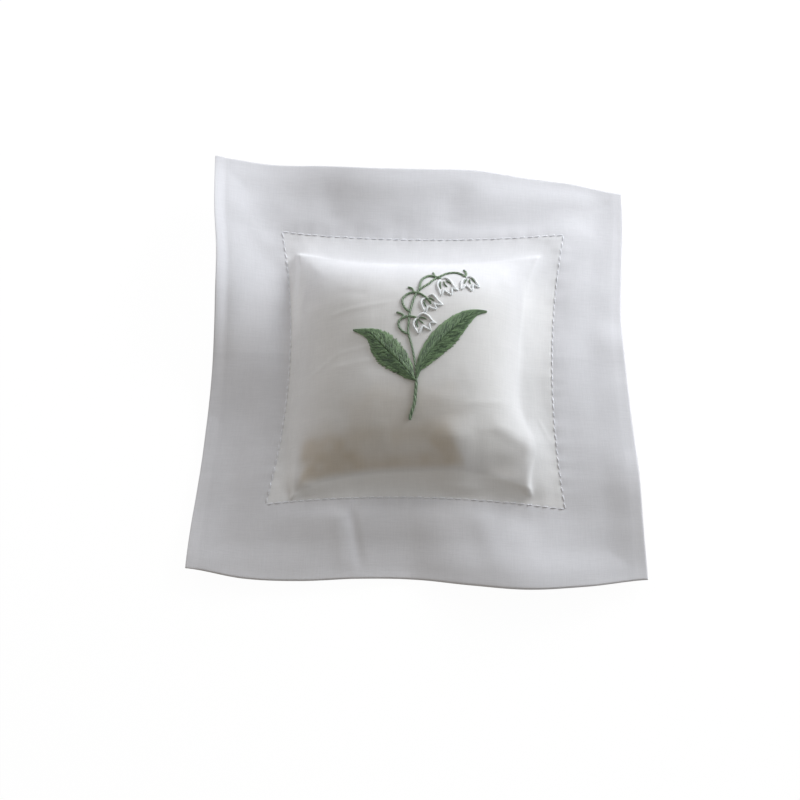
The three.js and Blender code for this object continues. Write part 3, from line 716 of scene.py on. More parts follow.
def read_grid(values, u, v):
    """Value of the front's grid at places between its lines."""
    i, j = (np.clip(np.searchsorted(front_lines, at) - 1, 0, len(front_lines) - 2) for at in (u, v))
    along, across = (
        ((at - front_lines[k]) / (front_lines[k + 1] - front_lines[k]))[..., None]
        for at, k in ((u, i), (v, j))
    )
    return between(values, i, j, along, across)


def on_front(places, lift):
    """Points over the face of the cover, and the directions square to the cloth there."""
    u, v = places[..., 0], places[..., 1]
    normal = unit(read_grid(front_normals, u, v))
    return read_grid(front_points, u, v) + normal * np.asarray(lift)[..., None], normal


# Meshes

SHARP_ANGLE = 50
# Kind and field of the marks at a mesh's points, by how many numbers each has
MARK_KINDS = {1: ("FLOAT", "value"), 3: ("FLOAT_VECTOR", "vector"), 4: ("FLOAT_COLOR", "color")}


def add_object(name, data):
    added = bpy.data.objects.new(name, data)
    bpy.context.scene.collection.objects.link(added)
    return added


def add_mesh(name, points, faces, marks):
    mesh = bpy.data.meshes.new(name)
    mesh.from_pydata(((np.asarray(points) + COVER_SHIFT) * MM).tolist(), [], faces)
    for key, values in marks.items():
        kind, field = MARK_KINDS[values.shape[1]]
        mark = mesh.attributes.new(key, kind, "POINT")
        mark.data.foreach_set(field, values.astype(np.float32).ravel())
    mesh.shade_smooth()
    mesh.set_sharp_from_angle(angle=math.radians(SHARP_ANGLE))
    return add_object(name, mesh)


def grid_solid(name, high, low, marks, keep=None):
    """Closed solid between two grids of points, with walls round the kept cells."""
    rows, columns = high.shape[:2]
    count = rows * columns
    ids = np.arange(count).reshape(rows, columns)
    kept = np.ones((rows - 1, columns - 1), bool) if keep is None else keep
    around = np.zeros((rows + 1, columns + 1), bool)
    around[1:-1, 1:-1] = kept
    a, b, c, d = ids[:-1, :-1], ids[1:, :-1], ids[1:, 1:], ids[:-1, 1:]
    top = np.stack([a[kept], b[kept], c[kept], d[kept]], 1)
    bottom = np.stack([a[kept], d[kept], c[kept], b[kept]], 1) + count
    faces = [top, bottom]
    sides = [
        (a, b, around[1:-1, :-2]),
        (b, c, around[2:, 1:-1]),
        (c, d, around[1:-1, 2:]),
        (d, a, around[:-2, 1:-1]),
    ]
    for start, end, neighbour in sides:
        bare = kept & ~neighbour
        p, q = start[bare], end[bare]
        faces.append(np.stack([p + count, q + count, q, p], 1))
    faces = np.concatenate(faces)
    used, renumbered = np.unique(faces, return_inverse=True)
    points = np.concatenate([high.reshape(count, 3), low.reshape(count, 3)])[used]
    marks = {key: np.tile(values.reshape(count, -1), (2, 1))[used] for key, values in marks.items()}
    return add_mesh(name, points, renumbered.reshape(-1, 4).tolist(), marks)


def tubes(name, paths, ups, radii, shades, sides=6, ring=False):
    """Round threads of equally many stops, each stop with the direction up from the cloth."""
    threads, stops = paths.shape[:2]
    if ring:
        ahead = unit(np.roll(paths, -1, axis=1) - np.roll(paths, 1, axis=1))
    else:
        ahead = unit(np.gradient(paths, axis=1))
    side = unit(np.cross(ahead, ups))
    up = np.cross(side, ahead)
    turn = ((np.arange(sides) + 0.5) / sides * 2 * math.pi)[:, None]
    around = np.cos(turn) * side[:, :, None] + np.sin(turn) * up[:, :, None]
    points = paths[:, :, None] + np.asarray(radii)[..., None, None] * around
    ids = np.arange(threads * stops * sides).reshape(threads, stops, sides)
    far = np.roll(ids, -1, axis=1)
    quads = np.stack([ids, far, np.roll(far, -1, axis=2), np.roll(ids, -1, axis=2)], 3)
    faces = (quads if ring else quads[:, :-1]).reshape(-1, 4).tolist()
    if not ring:
        faces += ids[:, 0].tolist() + ids[:, -1, ::-1].tolist()
    shades = np.repeat(np.broadcast_to(shades, (threads,)), stops * sides)
    return add_mesh(name, points.reshape(-1, 3), faces, {"shade": shades[:, None]})


def cloth_marks(u, v, tint=None):
    """Where each point lies on the flat cloth, and its tint: what shows from below, with painted
    light beside the pouch on the front cloth.
    """
    tint = np.ones((*u.shape, 4)) if tint is None else tint
    return {"flat": np.stack([u, v, 0 * u], 2), "tint": tint}


def straight_up(paths, way=1.0):
    return np.broadcast_to([0.0, 0.0, way], paths.shape)


# Materials

def new_material(name, colour, roughness):
    material = bpy.data.materials.new(name)
    material.use_nodes = True
    material.diffuse_color = (*colour, 1)
    tree = material.node_tree
    shader = tree.nodes["Principled BSDF"]
    set_inputs(tree, shader, {"Base Color": (*colour, 1), "Roughness": roughness})
    return material, tree, shader


def set_inputs(tree, node, inputs):
    """Links an input to the socket that is given for it, or sets its value."""
    for key, value in inputs.items():
        if isinstance(value, bpy.types.NodeSocket):
            tree.links.new(value, node.inputs[key])
        else:
            node.inputs[key].default_value = value


def add_node(tree, kind, inputs=None, **settings):
    node = tree.nodes.new(kind)
    for key, value in settings.items():
        setattr(node, key, value)
    set_inputs(tree, node, inputs or {})
    return node


def srgb(red, green, blue):
    """Linear colour of one given from 0 to 255 as a screen shows it."""
    shares = [channel / 255 for channel in (red, green, blue)]
    return tuple(c / 12.92 if c <= 0.04045 else ((c + 0.055) / 1.055) ** 2.4 for c in shares)


# Weave: how much longer than thick its uneven places are, its coarser slubs, its cloudiness
THREAD_EVENNESS = 14
SLUB_THICKNESS_SHARE = 0.42
SLUB_LENGTH_SHARE = 0.6
CLOUD_SCALE = (0.06, 0.05, 1)
CLOUD_SHARES = (0.975, 1.02)
CLOTH_SHEEN_ROUGHNESS = 0.5
CLOTH_SPECULAR = 0.25
# Noise: its detail, and where most of it lies, of one and of four added
NOISE_DETAIL = 2.0
NOISE_RANGE = (0.3, 0.7)
WEAVE_RANGE = (1.55, 2.45)
THREAD_BUMP = 0.0001
FIBRE_SCALE = 2600.0
FIBRE_CONTRAST = 0.16
FIBRE_RELIEF = 0.35
FLOSS_SHEEN = 0.15
FLOSS_SPECULAR = 0.4
BUD_RELIEF = 0.8
BUD_BUMP = 0.001
BUD_SCALE = 420.0
# Colours of the dried buds, at shares from 0 to 1
BUD_COLOURS = [
    (0.0, srgb(96, 84, 104)),
    (0.45, srgb(122, 108, 118)),
    (0.75, srgb(150, 132, 98)),
    (1.0, srgb(112, 108, 80)),
]


def attribute(tree, name, output):
    return add_node(tree, "ShaderNodeAttribute", attribute_name=name).outputs[output]


def noise(tree, place, scale, dimensions="3D"):
    inputs = {"Vector": place, "Scale": scale, "Detail": NOISE_DETAIL}
    return add_node(tree, "ShaderNodeTexNoise", inputs, noise_dimensions=dimensions).outputs["Fac"]


def streaks(tree, place, scale, seed):
    """Uneven threads of a weave: noise drawn out along one way of the cloth."""
    inputs = {"Vector": place, "Scale": scale, "Location": (seed, seed, 0)}
    return noise(tree, add_node(tree, "ShaderNodeMapping", inputs).outputs[0], 1.0, "2D")


def maths(tree, operation, first, second):
    return add_node(tree, "ShaderNodeMath", {0: first, 1: second}, operation=operation).outputs[0]


def ranged(tree, value, low, high, to_low, to_high):
    inputs = {"Value": value, "From Min": low, "From Max": high}
    inputs.update({"To Min": to_low, "To Max": to_high})
    return add_node(tree, "ShaderNodeMapRange", inputs, clamp=True).outputs[0]


def mixed(tree, factor, first, second, blend="MIX"):
    inputs = {0: factor, 6: first, 7: second}
    return add_node(tree, "ShaderNodeMix", inputs, data_type="RGBA", blend_type=blend).outputs[2]


def bumped(tree, height, strength, distance):
    inputs = {"Height": height, "Strength": strength, "Distance": distance}
    return add_node(tree, "ShaderNodeBump", inputs).outputs[0]


def woven(name, colour, thread, contrast, relief, roughness, sheen):
    """Plain woven cloth: uneven warp and weft threads, a few slubs, and its marked tint."""
    material, tree, shader = new_material(name, colour, roughness)
    place = attribute(tree, "flat", "Vector")
    across = 1 / thread
    along = across / THREAD_EVENNESS
    thick, long = across * SLUB_THICKNESS_SHARE, along * SLUB_LENGTH_SHARE
    threads, slubs = (
        maths(tree, "ADD", streaks(tree, place, (fine, coarse, 1), warp_seed),
              streaks(tree, place, (coarse, fine, 1), weft_seed))
        for fine, coarse, warp_seed, weft_seed in ((across, along, 3, 17), (thick, long, 41, 59))
    )
    both = maths(tree, "ADD", threads, slubs)
    weave = ranged(tree, both, *WEAVE_RANGE, 1 - contrast, 1 + contrast)
    cloudy = ranged(tree, streaks(tree, place, CLOUD_SCALE, 83), *NOISE_RANGE, *CLOUD_SHARES)
    factor = maths(tree, "MULTIPLY", weave, cloudy)
    tinted = mixed(tree, 1.0, attribute(tree, "tint", "Color"), (*colour, 1), "MULTIPLY")
    shaded = add_node(tree, "ShaderNodeVectorMath", {0: tinted, "Scale": factor}, operation="SCALE")
    set_inputs(tree, shader, {
        "Base Color": shaded.outputs[0],
        "Normal": bumped(tree, both, relief, THREAD_BUMP),
        "Sheen Weight": sheen,
        "Sheen Roughness": CLOTH_SHEEN_ROUGHNESS,
        "Specular IOR Level": CLOTH_SPECULAR,
    })
    return material


def floss(name, dark, light, roughness):
    """Embroidery or sewing thread: each strand has its own shade, and fine fibres along it."""
    material, tree, shader = new_material(name, light, roughness)
    fibres = noise(tree, add_node(tree, "ShaderNodeTexCoord").outputs["Object"], FIBRE_SCALE)
    fine = ranged(tree, fibres, *NOISE_RANGE, -FIBRE_CONTRAST, FIBRE_CONTRAST)
    inputs = {0: attribute(tree, "shade", "Fac"), 1: fine}
    amount = add_node(tree, "ShaderNodeMath", inputs, operation="ADD", use_clamp=True).outputs[0]
    set_inputs(tree, shader, {
        "Base Color": mixed(tree, amount, (*dark, 1), (*light, 1)),
        "Normal": bumped(tree, fibres, FIBRE_RELIEF, THREAD_BUMP),
        "Sheen Weight": FLOSS_SHEEN,
        "Specular IOR Level": FLOSS_SPECULAR,
    })
    return material


def dried_flowers(name):
    """Dried lavender: small grey-violet and straw-coloured buds."""
    material, tree, shader = new_material(name, srgb(138, 122, 94), 1.0)
    place = add_node(tree, "ShaderNodeTexCoord").outputs["Object"]
    buds = add_node(tree, "ShaderNodeTexVoronoi", {"Vector": place, "Scale": BUD_SCALE})
    hue = add_node(tree, "ShaderNodeSeparateColor", {"Color": buds.outputs["Color"]}).outputs[0]
    ramp = add_node(tree, "ShaderNodeValToRGB", {"Fac": hue})
    elements = ramp.color_ramp.elements
    elements[0].color = (*BUD_COLOURS[0][1], 1)
    elements[1].color = (*BUD_COLOURS[-1][1], 1)
    for position, colour in BUD_COLOURS[1:-1]:
        elements.new(position).color = (*colour, 1)
    set_inputs(tree, shader, {
        "Base Color": ramp.outputs[0],
        "Normal": bumped(tree, buds.outputs["Distance"], BUD_RELIEF, BUD_BUMP),
    })
    return material


# Materials with their slots. Cloths: thickness of a thread, contrast, relief, roughness, sheen
linen = (woven("linen", srgb(228, 228, 231), 0.3, 0.022, 0.12, 0.85, 0.1), "linen_white")
muslin = (woven("muslin", srgb(233, 226, 208), 0.6, 0.06, 0.3, 0.95, 0.0), "muslin_cream")
thread = (floss("white_thread", srgb(222, 224, 230), srgb(246, 247, 251), 0.55), "thread_white")
petals = (floss("petal_floss", srgb(202, 208, 207), srgb(242, 244, 245), 0.5), "floss_white")
leaves = (floss("leaf_floss", srgb(44, 66, 38), srgb(120, 148, 106), 0.5), "floss_leaf_green")
stalks = (floss("stalk_floss", srgb(56, 78, 50), srgb(146, 168, 138), 0.5), "floss_stalk_green")
strokes = (stalks[0], "floss_leaf_green")
lavender = (dried_flowers("dried_lavender"), "lavender_dried")


def dress(piece, finish, replaced, body="cover"):
    """Gives a piece its material, hides the model's nodes that it stands for, and hangs it from its
    body.
    """
    material, slot = finish
    piece.data.materials.append(material)
    if replaced:
        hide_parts(*replaced)
    if body:
        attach(piece, body)
    return piece


# What shows through the front cloth: the pouch's cream muslin and the darker fill behind it.
# Stains: start and end on the plan, half width, strength
STAINS = [
    ((-33, -37), (-25, -37), 10, 0.42),
    ((-37, -33), (-27.5, -31.5), 3.6, 0.5),
    ((-31, -39.5), (-20.5, -38.5), 4.6, 0.68),
    ((-39, -45.5), (-34, -42), 3.0, 0.55),
    ((-15, -38.7), (9, -38.7), 4.0, 0.5),
    ((-20, -32), (8, -32), 6.5, 0.35),
    ((-26, -44), (8, -44), 5, 0.16),
    ((9.5, -30), (13.5, -41), 3.2, 0.5),
    ((-14, -22), (6, -22), 9, 0.3),
    ((27, -43), (34, -44), 4, 0.25),
]
STAIN_WOBBLE = 1.8
STAIN_WOBBLE_SIZE = 6
STAIN_EDGE = 1.5
STAIN_GRAIN = 0.2
STAIN_GRAIN_SIZE = 3.2

# Shares of the linen's colour, in red, green and blue where there are three
CREAM_SHARES = (1.01, 1.0, 0.95)
STAIN_SHARES = (0.81, 0.735, 0.63)
# Painted light: the cloth beside the pouch is made paler and warmer, as if lit by light thrown back
# from the pouch
PAINTED_LIGHT_SHARES = (1.032, 1.03, 0.995)
OVERLAP_SHARE = 0.955
HEM_SHARE = 1.012
# Painted light: the gap beside the pouch, low, on the left and on the right, is made paler
GAP_PAINTED_LIGHT_SHARE = 1.1
ALLOWANCE_SHARE = 1.045

# Fades on the pouch, along its t and from its rim: an edge that is softer at the top, less cream
# towards the top and the rim, and stains that end before the rim
EDGE_BLURS = (0.035, 0.2)
SOFT_EDGE_FADE = (0.5, 0.4)
CREAM_FADE = (0.35, 0.5)
CREAM_TOP_SHARE = 0.35
CREAM_RIM = 0.35
CREAM_RIM_SHARE = 0.7
STAIN_FADE = (0.015, 0.09)
# Fades on the cover, each from a place and over a length: the painted light that makes the cloth
# beside the pouch paler, and the stronger painted light in the gap beside the pouch, low, on the left
# and on the right
PAINTED_LIGHT_FADE = (20, 20)
PAINTED_LIGHT_TOP_SHARE = 0.4
ALLOWANCE_BLUR = 0.4
GAP_PAINTED_LIGHT_LOW_FADE = (32, 10)
GAP_PAINTED_LIGHT_SIDE_FADE = (30, 12)
GAP_PAINTED_LIGHT_LEFT_FADE = (5, 15)
GAP_PAINTED_LIGHT_RIGHT_FADE = (-8, 12)
GAP_PAINTED_LIGHT_RIGHT_END_FADE = (-36, 12)


def stains(x, y):
    wx = x + STAIN_WOBBLE * random_lumps(x, y, STAIN_WOBBLE_SIZE, 51)
    wy = y + STAIN_WOBBLE * random_lumps(x, y, STAIN_WOBBLE_SIZE, 52)
    clear = np.ones_like(x)
    for (ax, ay), (bx, by), width, strength in STAINS:
        dx, dy = bx - ax, by - ay
        along = np.clip(((wx - ax) * dx + (wy - ay) * dy) / (dx ** 2 + dy ** 2), 0, 1)
        away = np.hypot(wx - mix(ax, bx, along), wy - mix(ay, by, along)) / width
        clear = clear * (1 - strength * smooth(STAIN_EDGE - away))
    grain = 1 + STAIN_GRAIN * random_lumps(x, y, STAIN_GRAIN_SIZE, 53)
    return np.clip((1 - clear) * grain, 0, 1)


def see_through(x, y, u, v):
    """Tint of the front cloth: cream over the pouch, brown over its fill, paler where doubled, and
    painted light that makes the cloth beside the pouch paler.
    """
    s, t = pouch_place(x, y)
    inward = 1 - farther(s, t)
    inside = farther(u, v) < STITCH_HALF
    outside = farther(u, v) > STITCH_HALF
    over = smooth(inward / mix(*EDGE_BLURS, fade_in(t, *SOFT_EDGE_FADE))) * inside
    cream = over * mix(CREAM_RIM_SHARE, 1, smooth(inward / CREAM_RIM))
    cream = cream * mix(1, CREAM_TOP_SHARE, fade_in(t, *CREAM_FADE))
    beside = (1 - over) * inside
    # Painted light beside the pouch, less of it towards the top
    painted_light = beside * mix(1, PAINTED_LIGHT_TOP_SHARE, fade_in(v, *PAINTED_LIGHT_FADE))
    # Painted light in the gap beside the pouch, low, on the left and on the right; clear below is its
    # mask
    painted_gap_low = fade_in(-v, *GAP_PAINTED_LIGHT_LOW_FADE)
    painted_gap_left = fade_in(-u, *GAP_PAINTED_LIGHT_SIDE_FADE) * fade_in(v, *GAP_PAINTED_LIGHT_LEFT_FADE)
    painted_gap_right = fade_in(v, *GAP_PAINTED_LIGHT_RIGHT_FADE) * fade_in(-v, *GAP_PAINTED_LIGHT_RIGHT_END_FADE)
    painted_gap_right = fade_in(u, *GAP_PAINTED_LIGHT_SIDE_FADE) * painted_gap_right
    clear = beside * np.maximum(painted_gap_low, np.maximum(painted_gap_left, painted_gap_right))
    stained = stains(x, y) * fade_in(inward, *STAIN_FADE) * over
    upper_hem = band(v, UPPER_PANEL_EDGE, HEM_FOLD)
    hems = np.maximum(upper_hem, band(v, LOWER_HEM_FOLD, LOWER_PANEL_EDGE)) * outside
    overlap = band(v, UPPER_PANEL_EDGE, LOWER_PANEL_EDGE) * outside
    # Density of doubled cloth, together with the painted light of the gap
    density_and_painted_light = mix(1, HEM_SHARE, hems) * mix(1, ALLOWANCE_SHARE, turned_in(u, 0 * v, ALLOWANCE_BLUR))
    density_and_painted_light = density_and_painted_light * mix(1, OVERLAP_SHARE, overlap) * mix(1, GAP_PAINTED_LIGHT_SHARE, clear)
    tint = np.ones((*u.shape, 4))
    for amount, shares in ((cream, CREAM_SHARES), (stained, STAIN_SHARES), (painted_light, PAINTED_LIGHT_SHARES)):
        tint[..., :3] *= mix(1, np.array(shares), amount[..., None])
    tint[..., :3] *= density_and_painted_light[..., None]
    return tint


def make_front():
    u, v = grid(front_lines, front_lines)
    low = front_points - front_normals * CLOTH
    low[..., 2] -= CLOTH * turned_in(u, v) * (1 - rim_curl(u, v))
    tint = see_through(front_points[..., 0], front_points[..., 1], u, v)
    piece = grid_solid("linen_front", front_points, low, cloth_marks(u, v, tint))
    dress(piece, linen, ["front_panel"])


def back_points(u, v, level, thickness):
    """Lower and upper face of a back cloth at a level over the outer one's underside."""
    x, y = plan(u, v)
    base = back_height(u, v) + level
    rise = BACK_RIM_RISE * rim_curl(u, v)
    low = np.stack([x, y, base + rise], 2)
    high = np.stack([x, y, base + thickness], 2)
    return low, high


def make_upper_back():
    """Upper back panel in three pieces that join: the fixed cloth, and the halves of the flap."""
    lines = cloth_lines(BACK_STEP, BACK_STEP)
    rows = with_lines(lines, HEM_FOLD, HEM_FOLD + HEM_RAMP, FLAP_ROOT, UPPER_PANEL_EDGE)
    rows = rows[rows >= UPPER_PANEL_EDGE]
    u, v = grid(lines, rows)
    hem = smooth((HEM_FOLD + HEM_RAMP - v) / HEM_RAMP)
    fold = np.sqrt(np.clip((v - UPPER_PANEL_EDGE) / HEM_ROUND, 0, 1))
    hem = hem * mix(HEM_EDGE_SHARE, 1, fold)
    low, high = back_points(u, v, 0, CLOTH * (1 + np.maximum(hem, turned_in(u, v))))
    middle_u = middles(lines)[:, None]
    in_flap = (np.abs(middle_u) < STITCH_HALF) & (middles(rows) < FLAP_ROOT)
    marks = cloth_marks(u, v)
    fixed = grid_solid("linen_back_upper", high, low, marks, ~in_flap)
    dress(fixed, linen, ["back_panel_upper"])
    for name, side in (("flap_left", -1), ("flap_right", 1)):
        piece = grid_solid(name, high, low, marks, in_flap & (middle_u * side > 0))
        dress(piece, linen, ["back_flap"], body=None)
        blend_flap(piece)


def blend_flap(piece):
    """Bakes the piece's placement into its mesh."""
    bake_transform(piece)


def make_lower_back():
    lines = cloth_lines(BACK_STEP, BACK_STEP)
    us = with_lines(lines, -INNER_STOP, INNER_STOP)
    hem_line = LOWER_HEM_FOLD - HEM_RAMP
    rows = with_lines(lines, LOWER_PANEL_EDGE, LOWER_HEM_FOLD, hem_line, DRAPE_LINE)
    rows = rows[rows <= LOWER_PANEL_EDGE]
    u, v = grid(us, rows)
    folded = turned_in(u, v) * (v < DRAPE_LINE)
    thickness = CLOTH * (1 + np.maximum(fade_in(v, hem_line, HEM_RAMP), folded))
    low, high = back_points(u, v, lower_level(u, v), thickness)
    keep = (np.abs(middles(us)) < INNER_STOP)[:, None] | (middles(rows) < DRAPE_LINE)
    piece = grid_solid("linen_back_lower", high, low, cloth_marks(u, v), keep)
    dress(piece, linen, ["back_panel_lower"])


def make_pouch():
    """Muslin pouch: an upper and a lower cloth that meet at the seam, and the fill inside."""
    side = np.sin(np.linspace(-1, 1, POUCH_STEPS + 1) * math.pi / 2)
    s, t = grid(side, side)
    seam = pouch_seam_height(s, t)
    half_gap = POUCH_RIM_GAP / 2
    x, y, z = pouch_upper(s, t)
    edge = 1 - farther(s, t)
    wave = np.sin((s + t * GATHER_SLANT) * GATHER_PACE + unevenness(x, y, GATHER_DRIFTS))
    gathers = GATHER_HEIGHT * wave * np.exp(-edge * GATHER_FADE)
    upper = np.stack([x, y, z + gathers * smooth(edge / GATHER_RIM)], 2)
    upper_in = upper - grid_normals(upper) * MUSLIN
    upper[..., 2] = np.maximum(upper[..., 2], seam + half_gap + MUSLIN)
    upper_in[..., 2] = np.maximum(upper_in[..., 2], seam + half_gap)
    x, y, z = pouch_lower(s, t)
    z = np.maximum(z, back_clear(x, y))
    lower = np.stack([x, y, np.minimum(z, seam - half_gap - MUSLIN)], 2)
    lower_in = np.stack([x, y, np.minimum(z + MUSLIN, seam - half_gap)], 2)
    tint = np.ones((*x.shape, 4))
    tint[..., :3] = mix(1, np.array(STAIN_SHARES), stains(x, y)[..., None])
    marks = cloth_marks(x, y, tint)
    for name, high, low, node in (
        ("pouch_cloth_upper", upper, upper_in, "pouch_front"),
        ("pouch_cloth_lower", lower_in, lower, "pouch_back"),
    ):
        piece = grid_solid(name, high, low, marks)
        dress(piece, muslin, [node])
    make_fill(s, t)
    make_pouch_seam()


def back_clear(x, y):
    """Height that keeps the pouch off the back cloths."""
    return back_height(x, y) + POUCH_OVER_BACK - shared_relief(x, y)


def make_fill(s, t):
    seam = pouch_seam_height(s, t)
    s, t = s * FILL_INSET_SHARE, t * FILL_INSET_SHARE
    x, y, z = pouch_upper(s, t)
    buds = unevenness(x, y, FILL_LUMPS)
    high = np.stack([x, y, np.maximum(z - FILL_UNDER_TOP + buds, seam + FILL_RIM_GAP)], 2)
    z = np.maximum(pouch_lower(s, t)[2], back_clear(x, y))
    low = np.stack([x, y, np.minimum(z + FILL_OVER_BOTTOM + buds, seam - FILL_RIM_GAP)], 2)
    fill = grid_solid("dried_lavender_fill", high, low, {})
    dress(fill, lavender, ["lavender_fill"])


def make_pouch_seam():
    """Fine stitches that close the pouch along its edge."""
    span = np.linspace(-1, 1, POUCH_STITCH_COUNT + 1)
    side = np.ones_like(span)
    along = np.linspace(1 - POUCH_STITCH_SHARE, 1 + POUCH_STITCH_SHARE, 5)[:, None] / 2
    paths = []
    for s, t in [(span, -side), (side, span), (-span, side), (-side, -span)]:
        x, y = pouch_plan(s, t)
        holes = np.stack([x, y, pouch_seam_height(s, t)], 1)
        paths += [mix(start, end, along) for start, end in zip(holes[:-1], holes[1:])]
    paths = np.array(paths)
    up = straight_up(paths)
    seam = tubes("pouch_seam_stitches", paths, up, POUCH_THREAD_RADIUS, POUCH_SEAM_SHADE, sides=5)
    dress(seam, thread, ["pouch_seam_thread"])


# Stitches

def stitch_row(start, end, pitch):
    """Centres and direction of even stitches from one place of the cloth to another."""
    start = np.array(start, float)
    way = np.array(end, float) - start
    length = float(np.hypot(*way))
    count = max(1, round(length / pitch))
    at = (np.arange(count) + 0.5) / count
    return start + way * at[:, None], way / length


STITCH_LINE_SHARES = np.array([-0.5, -0.42, -0.25, 0, 0.25, 0.42, 0.5])
STITCH_ARCH_SHARES = np.array([-0.9, 0.1, 0.8, 1, 0.8, 0.1, -0.9])
STITCH_RADIUS_SHARES = np.array([0.55, 0.85, 1, 1, 1, 0.85, 0.55])
# How far a stitch is off its place along and across the row, and the range of what varies
STITCH_JITTERS = (0.08, 0.04)
STITCH_LENGTH_SHARES = (0.92, 1.06)
STITCH_SLANT_SHARES = (0.6, 1.4)
STITCH_SHADES = (0.35, 1.0)


def stitch_places(rows, length, slant, seed):
    """Flat places along each stitch of some rows."""
    random = np.random.default_rng(seed)
    places = []
    for centres, way in rows:
        side = np.array([-way[1], way[0]])
        for centre in centres:
            ahead, aside = (random.uniform(-most, most) for most in STITCH_JITTERS)
            stretch = way * length * random.uniform(*STITCH_LENGTH_SHARES)
            tilt = side * slant * random.uniform(*STITCH_SLANT_SHARES) * 2
            along = (stretch + tilt) * STITCH_LINE_SHARES[:, None]
            places.append(centre + way * ahead + side * aside + along)
    return np.array(places), random.uniform(*STITCH_SHADES, len(places))


def border_rows():
    h = STITCH_HALF
    corners = [(-h, -h), (h, -h), (h, h), (-h, h)]
    return [stitch_row(corners[k], corners[(k + 1) % 4], STITCH_PITCH) for k in range(4)]


def make_border_stitches():
    places, shades = stitch_places(border_rows(), STITCH_LENGTH, STITCH_SLANT, 101)
    lift = STITCH_ARCH_SHARES * STITCH_RADIUS + STITCH_LIFT
    paths, ups = on_front(places, lift)
    needle = tubes("border_stitches", paths, ups, STITCH_RADIUS_SHARES * STITCH_RADIUS, shades)
    dress(needle, thread, ["border_needle_thread"])
    make_back_stitches("border_stitches_under", border_rows(), 0, -1, 102, ["border_bobbin_thread"])


def make_back_stitches(name, rows, level, side, seed, replaced, body="cover"):
    """Stitches on a back cloth, at a level, on its upper side or its underside."""
    places, shades = stitch_places(rows, STITCH_LENGTH, STITCH_SLANT, seed)
    u, v = places[..., 0], places[..., 1]
    x, y = plan(u, v)
    lift = STITCH_ARCH_SHARES * STITCH_RADIUS * BACK_ARCH_SHARE + STITCH_LIFT
    radius = STITCH_RADIUS * BACK_THREAD_SHARE
    z = np.maximum(back_height(u, v) + level + side * lift, radius - PRESSED_STITCH)
    paths = np.stack([x, y, z], 2)
    piece = tubes(name, paths, straight_up(paths, side), STITCH_RADIUS_SHARES * radius, shades)
    return dress(piece, thread, replaced, body)


def make_hem_stitches():
    outer = UPPER_PANEL_EDGE + HEM_STITCH_INSET
    inner = LOWER_PANEL_EDGE - HEM_STITCH_INSET
    h = STITCH_HALF
    for name, side in (("left", -1), ("right", 1)):
        beside = [stitch_row((side * h, outer), (side * ALLOWANCE_LINE, outer), HEM_PITCH)]
        on_flap = [stitch_row((0, outer), (side * h, outer), HEM_PITCH)]
        for face, level, way in (("", 2 * CLOTH, 1), ("_under", 0, -1)):
            node = [f"upper_hem_thread_{name}"]
            make_back_stitches(f"upper_hem_stitches_{name}{face}", beside, level, way, 111, node)
            flap_name = f"flap_hem_stitches_{name}{face}"
            node = ["flap_hem_thread"]
            piece = make_back_stitches(flap_name, on_flap, level, way, 112, node, body=None)
            blend_flap(piece)
    row = [stitch_row((-ALLOWANCE_LINE, inner), (ALLOWANCE_LINE, inner), HEM_PITCH)]
    level = 3 * CLOTH + LAYER_GAP
    make_back_stitches("lower_hem_stitches", row, level, 1, 113, ["lower_hem_thread"])
    make_back_stitches("lower_hem_stitches_under", row, CLOTH + LAYER_GAP, -1, 114, [])


def make_rim_seam():
    """Thread of the seam that joins front and back, inside the rolled rim."""
    half = COVER_HALF - RIM_SEAM_INSET
    steps = np.linspace(-1, 1, RIM_SEAM_STEPS + 1)[:-1] * half
    edge = np.full_like(steps, half)
    u = np.concatenate([steps, edge, -steps, -edge])
    v = np.concatenate([-edge, steps, edge, -steps])
    x, y = plan(u, v)
    path = np.stack([x, y, back_height(u, v) + RIM_SEAM_RISE], 1)[None]
    up = straight_up(path)
    seam = tubes("rim_seam_stitches", path, up, RIM_THREAD_RADIUS, RIM_SEAM_SHADE, 5, ring=True)
    dress(seam, thread, ["rim_seam_thread"])


# Embroidery

def sprig_place(points_px):
    """Places of the cloth that the camera sees at points of the photograph."""
    points = np.asarray(points_px, float)
    right, up, back = (np.array(axis) for axis in camera_axes())
    pull = CAMERA_LENS / SENSOR_WIDTH * PHOTO_SIZE_PX
    to_flat = np.linalg.inv(np.array([right[:2], -up[:2]]) * pull / CAMERA_DISTANCE).T
    place = np.array(SPRIG_FORK) + (points - SPRIG_FORK_PX) @ to_flat
    for _ in range(SPRIG_ROUNDS):
        seen = read_grid(front_points, place[..., 0], place[..., 1]) - np.array(CAMERA_TARGET)
        depth = CAMERA_DISTANCE - seen @ back
        at = np.stack([seen @ right / depth, -(seen @ up) / depth], -1) * pull + PHOTO_SIZE_PX / 2
        place = place + (points - at) @ to_flat
    return place


def even_curve(points, spacing):
    """Evenly spaced places on the smooth curve through points."""
    fine = curve_at(points, np.linspace(0, 1, CURVE_STEPS))
    steps = np.linalg.norm(np.diff(fine, axis=0), axis=1)
    length = np.concatenate([[0], np.cumsum(steps)])
    count = max(2, round(length[-1] / spacing) + 1)
    at = np.linspace(0, length[-1], count)
    return np.stack([np.interp(at, length, fine[:, k]) for k in range(2)], 1)


# Leaves: rows of long and short strands on each side of the middle, over a padding
LEAF_SLANT = 0.19
LEAF_SPACING = 0.52
LEAF_ROW_SHARES = [(0.0, 0.36), (0.22, 0.6), (0.42, 0.82), (0.64, 1.0)]
LEAF_ENDS_SHARES = (0.02, 0.985)
# Strands that start before the leaf does, since they slant
LEAF_LEAD = 3
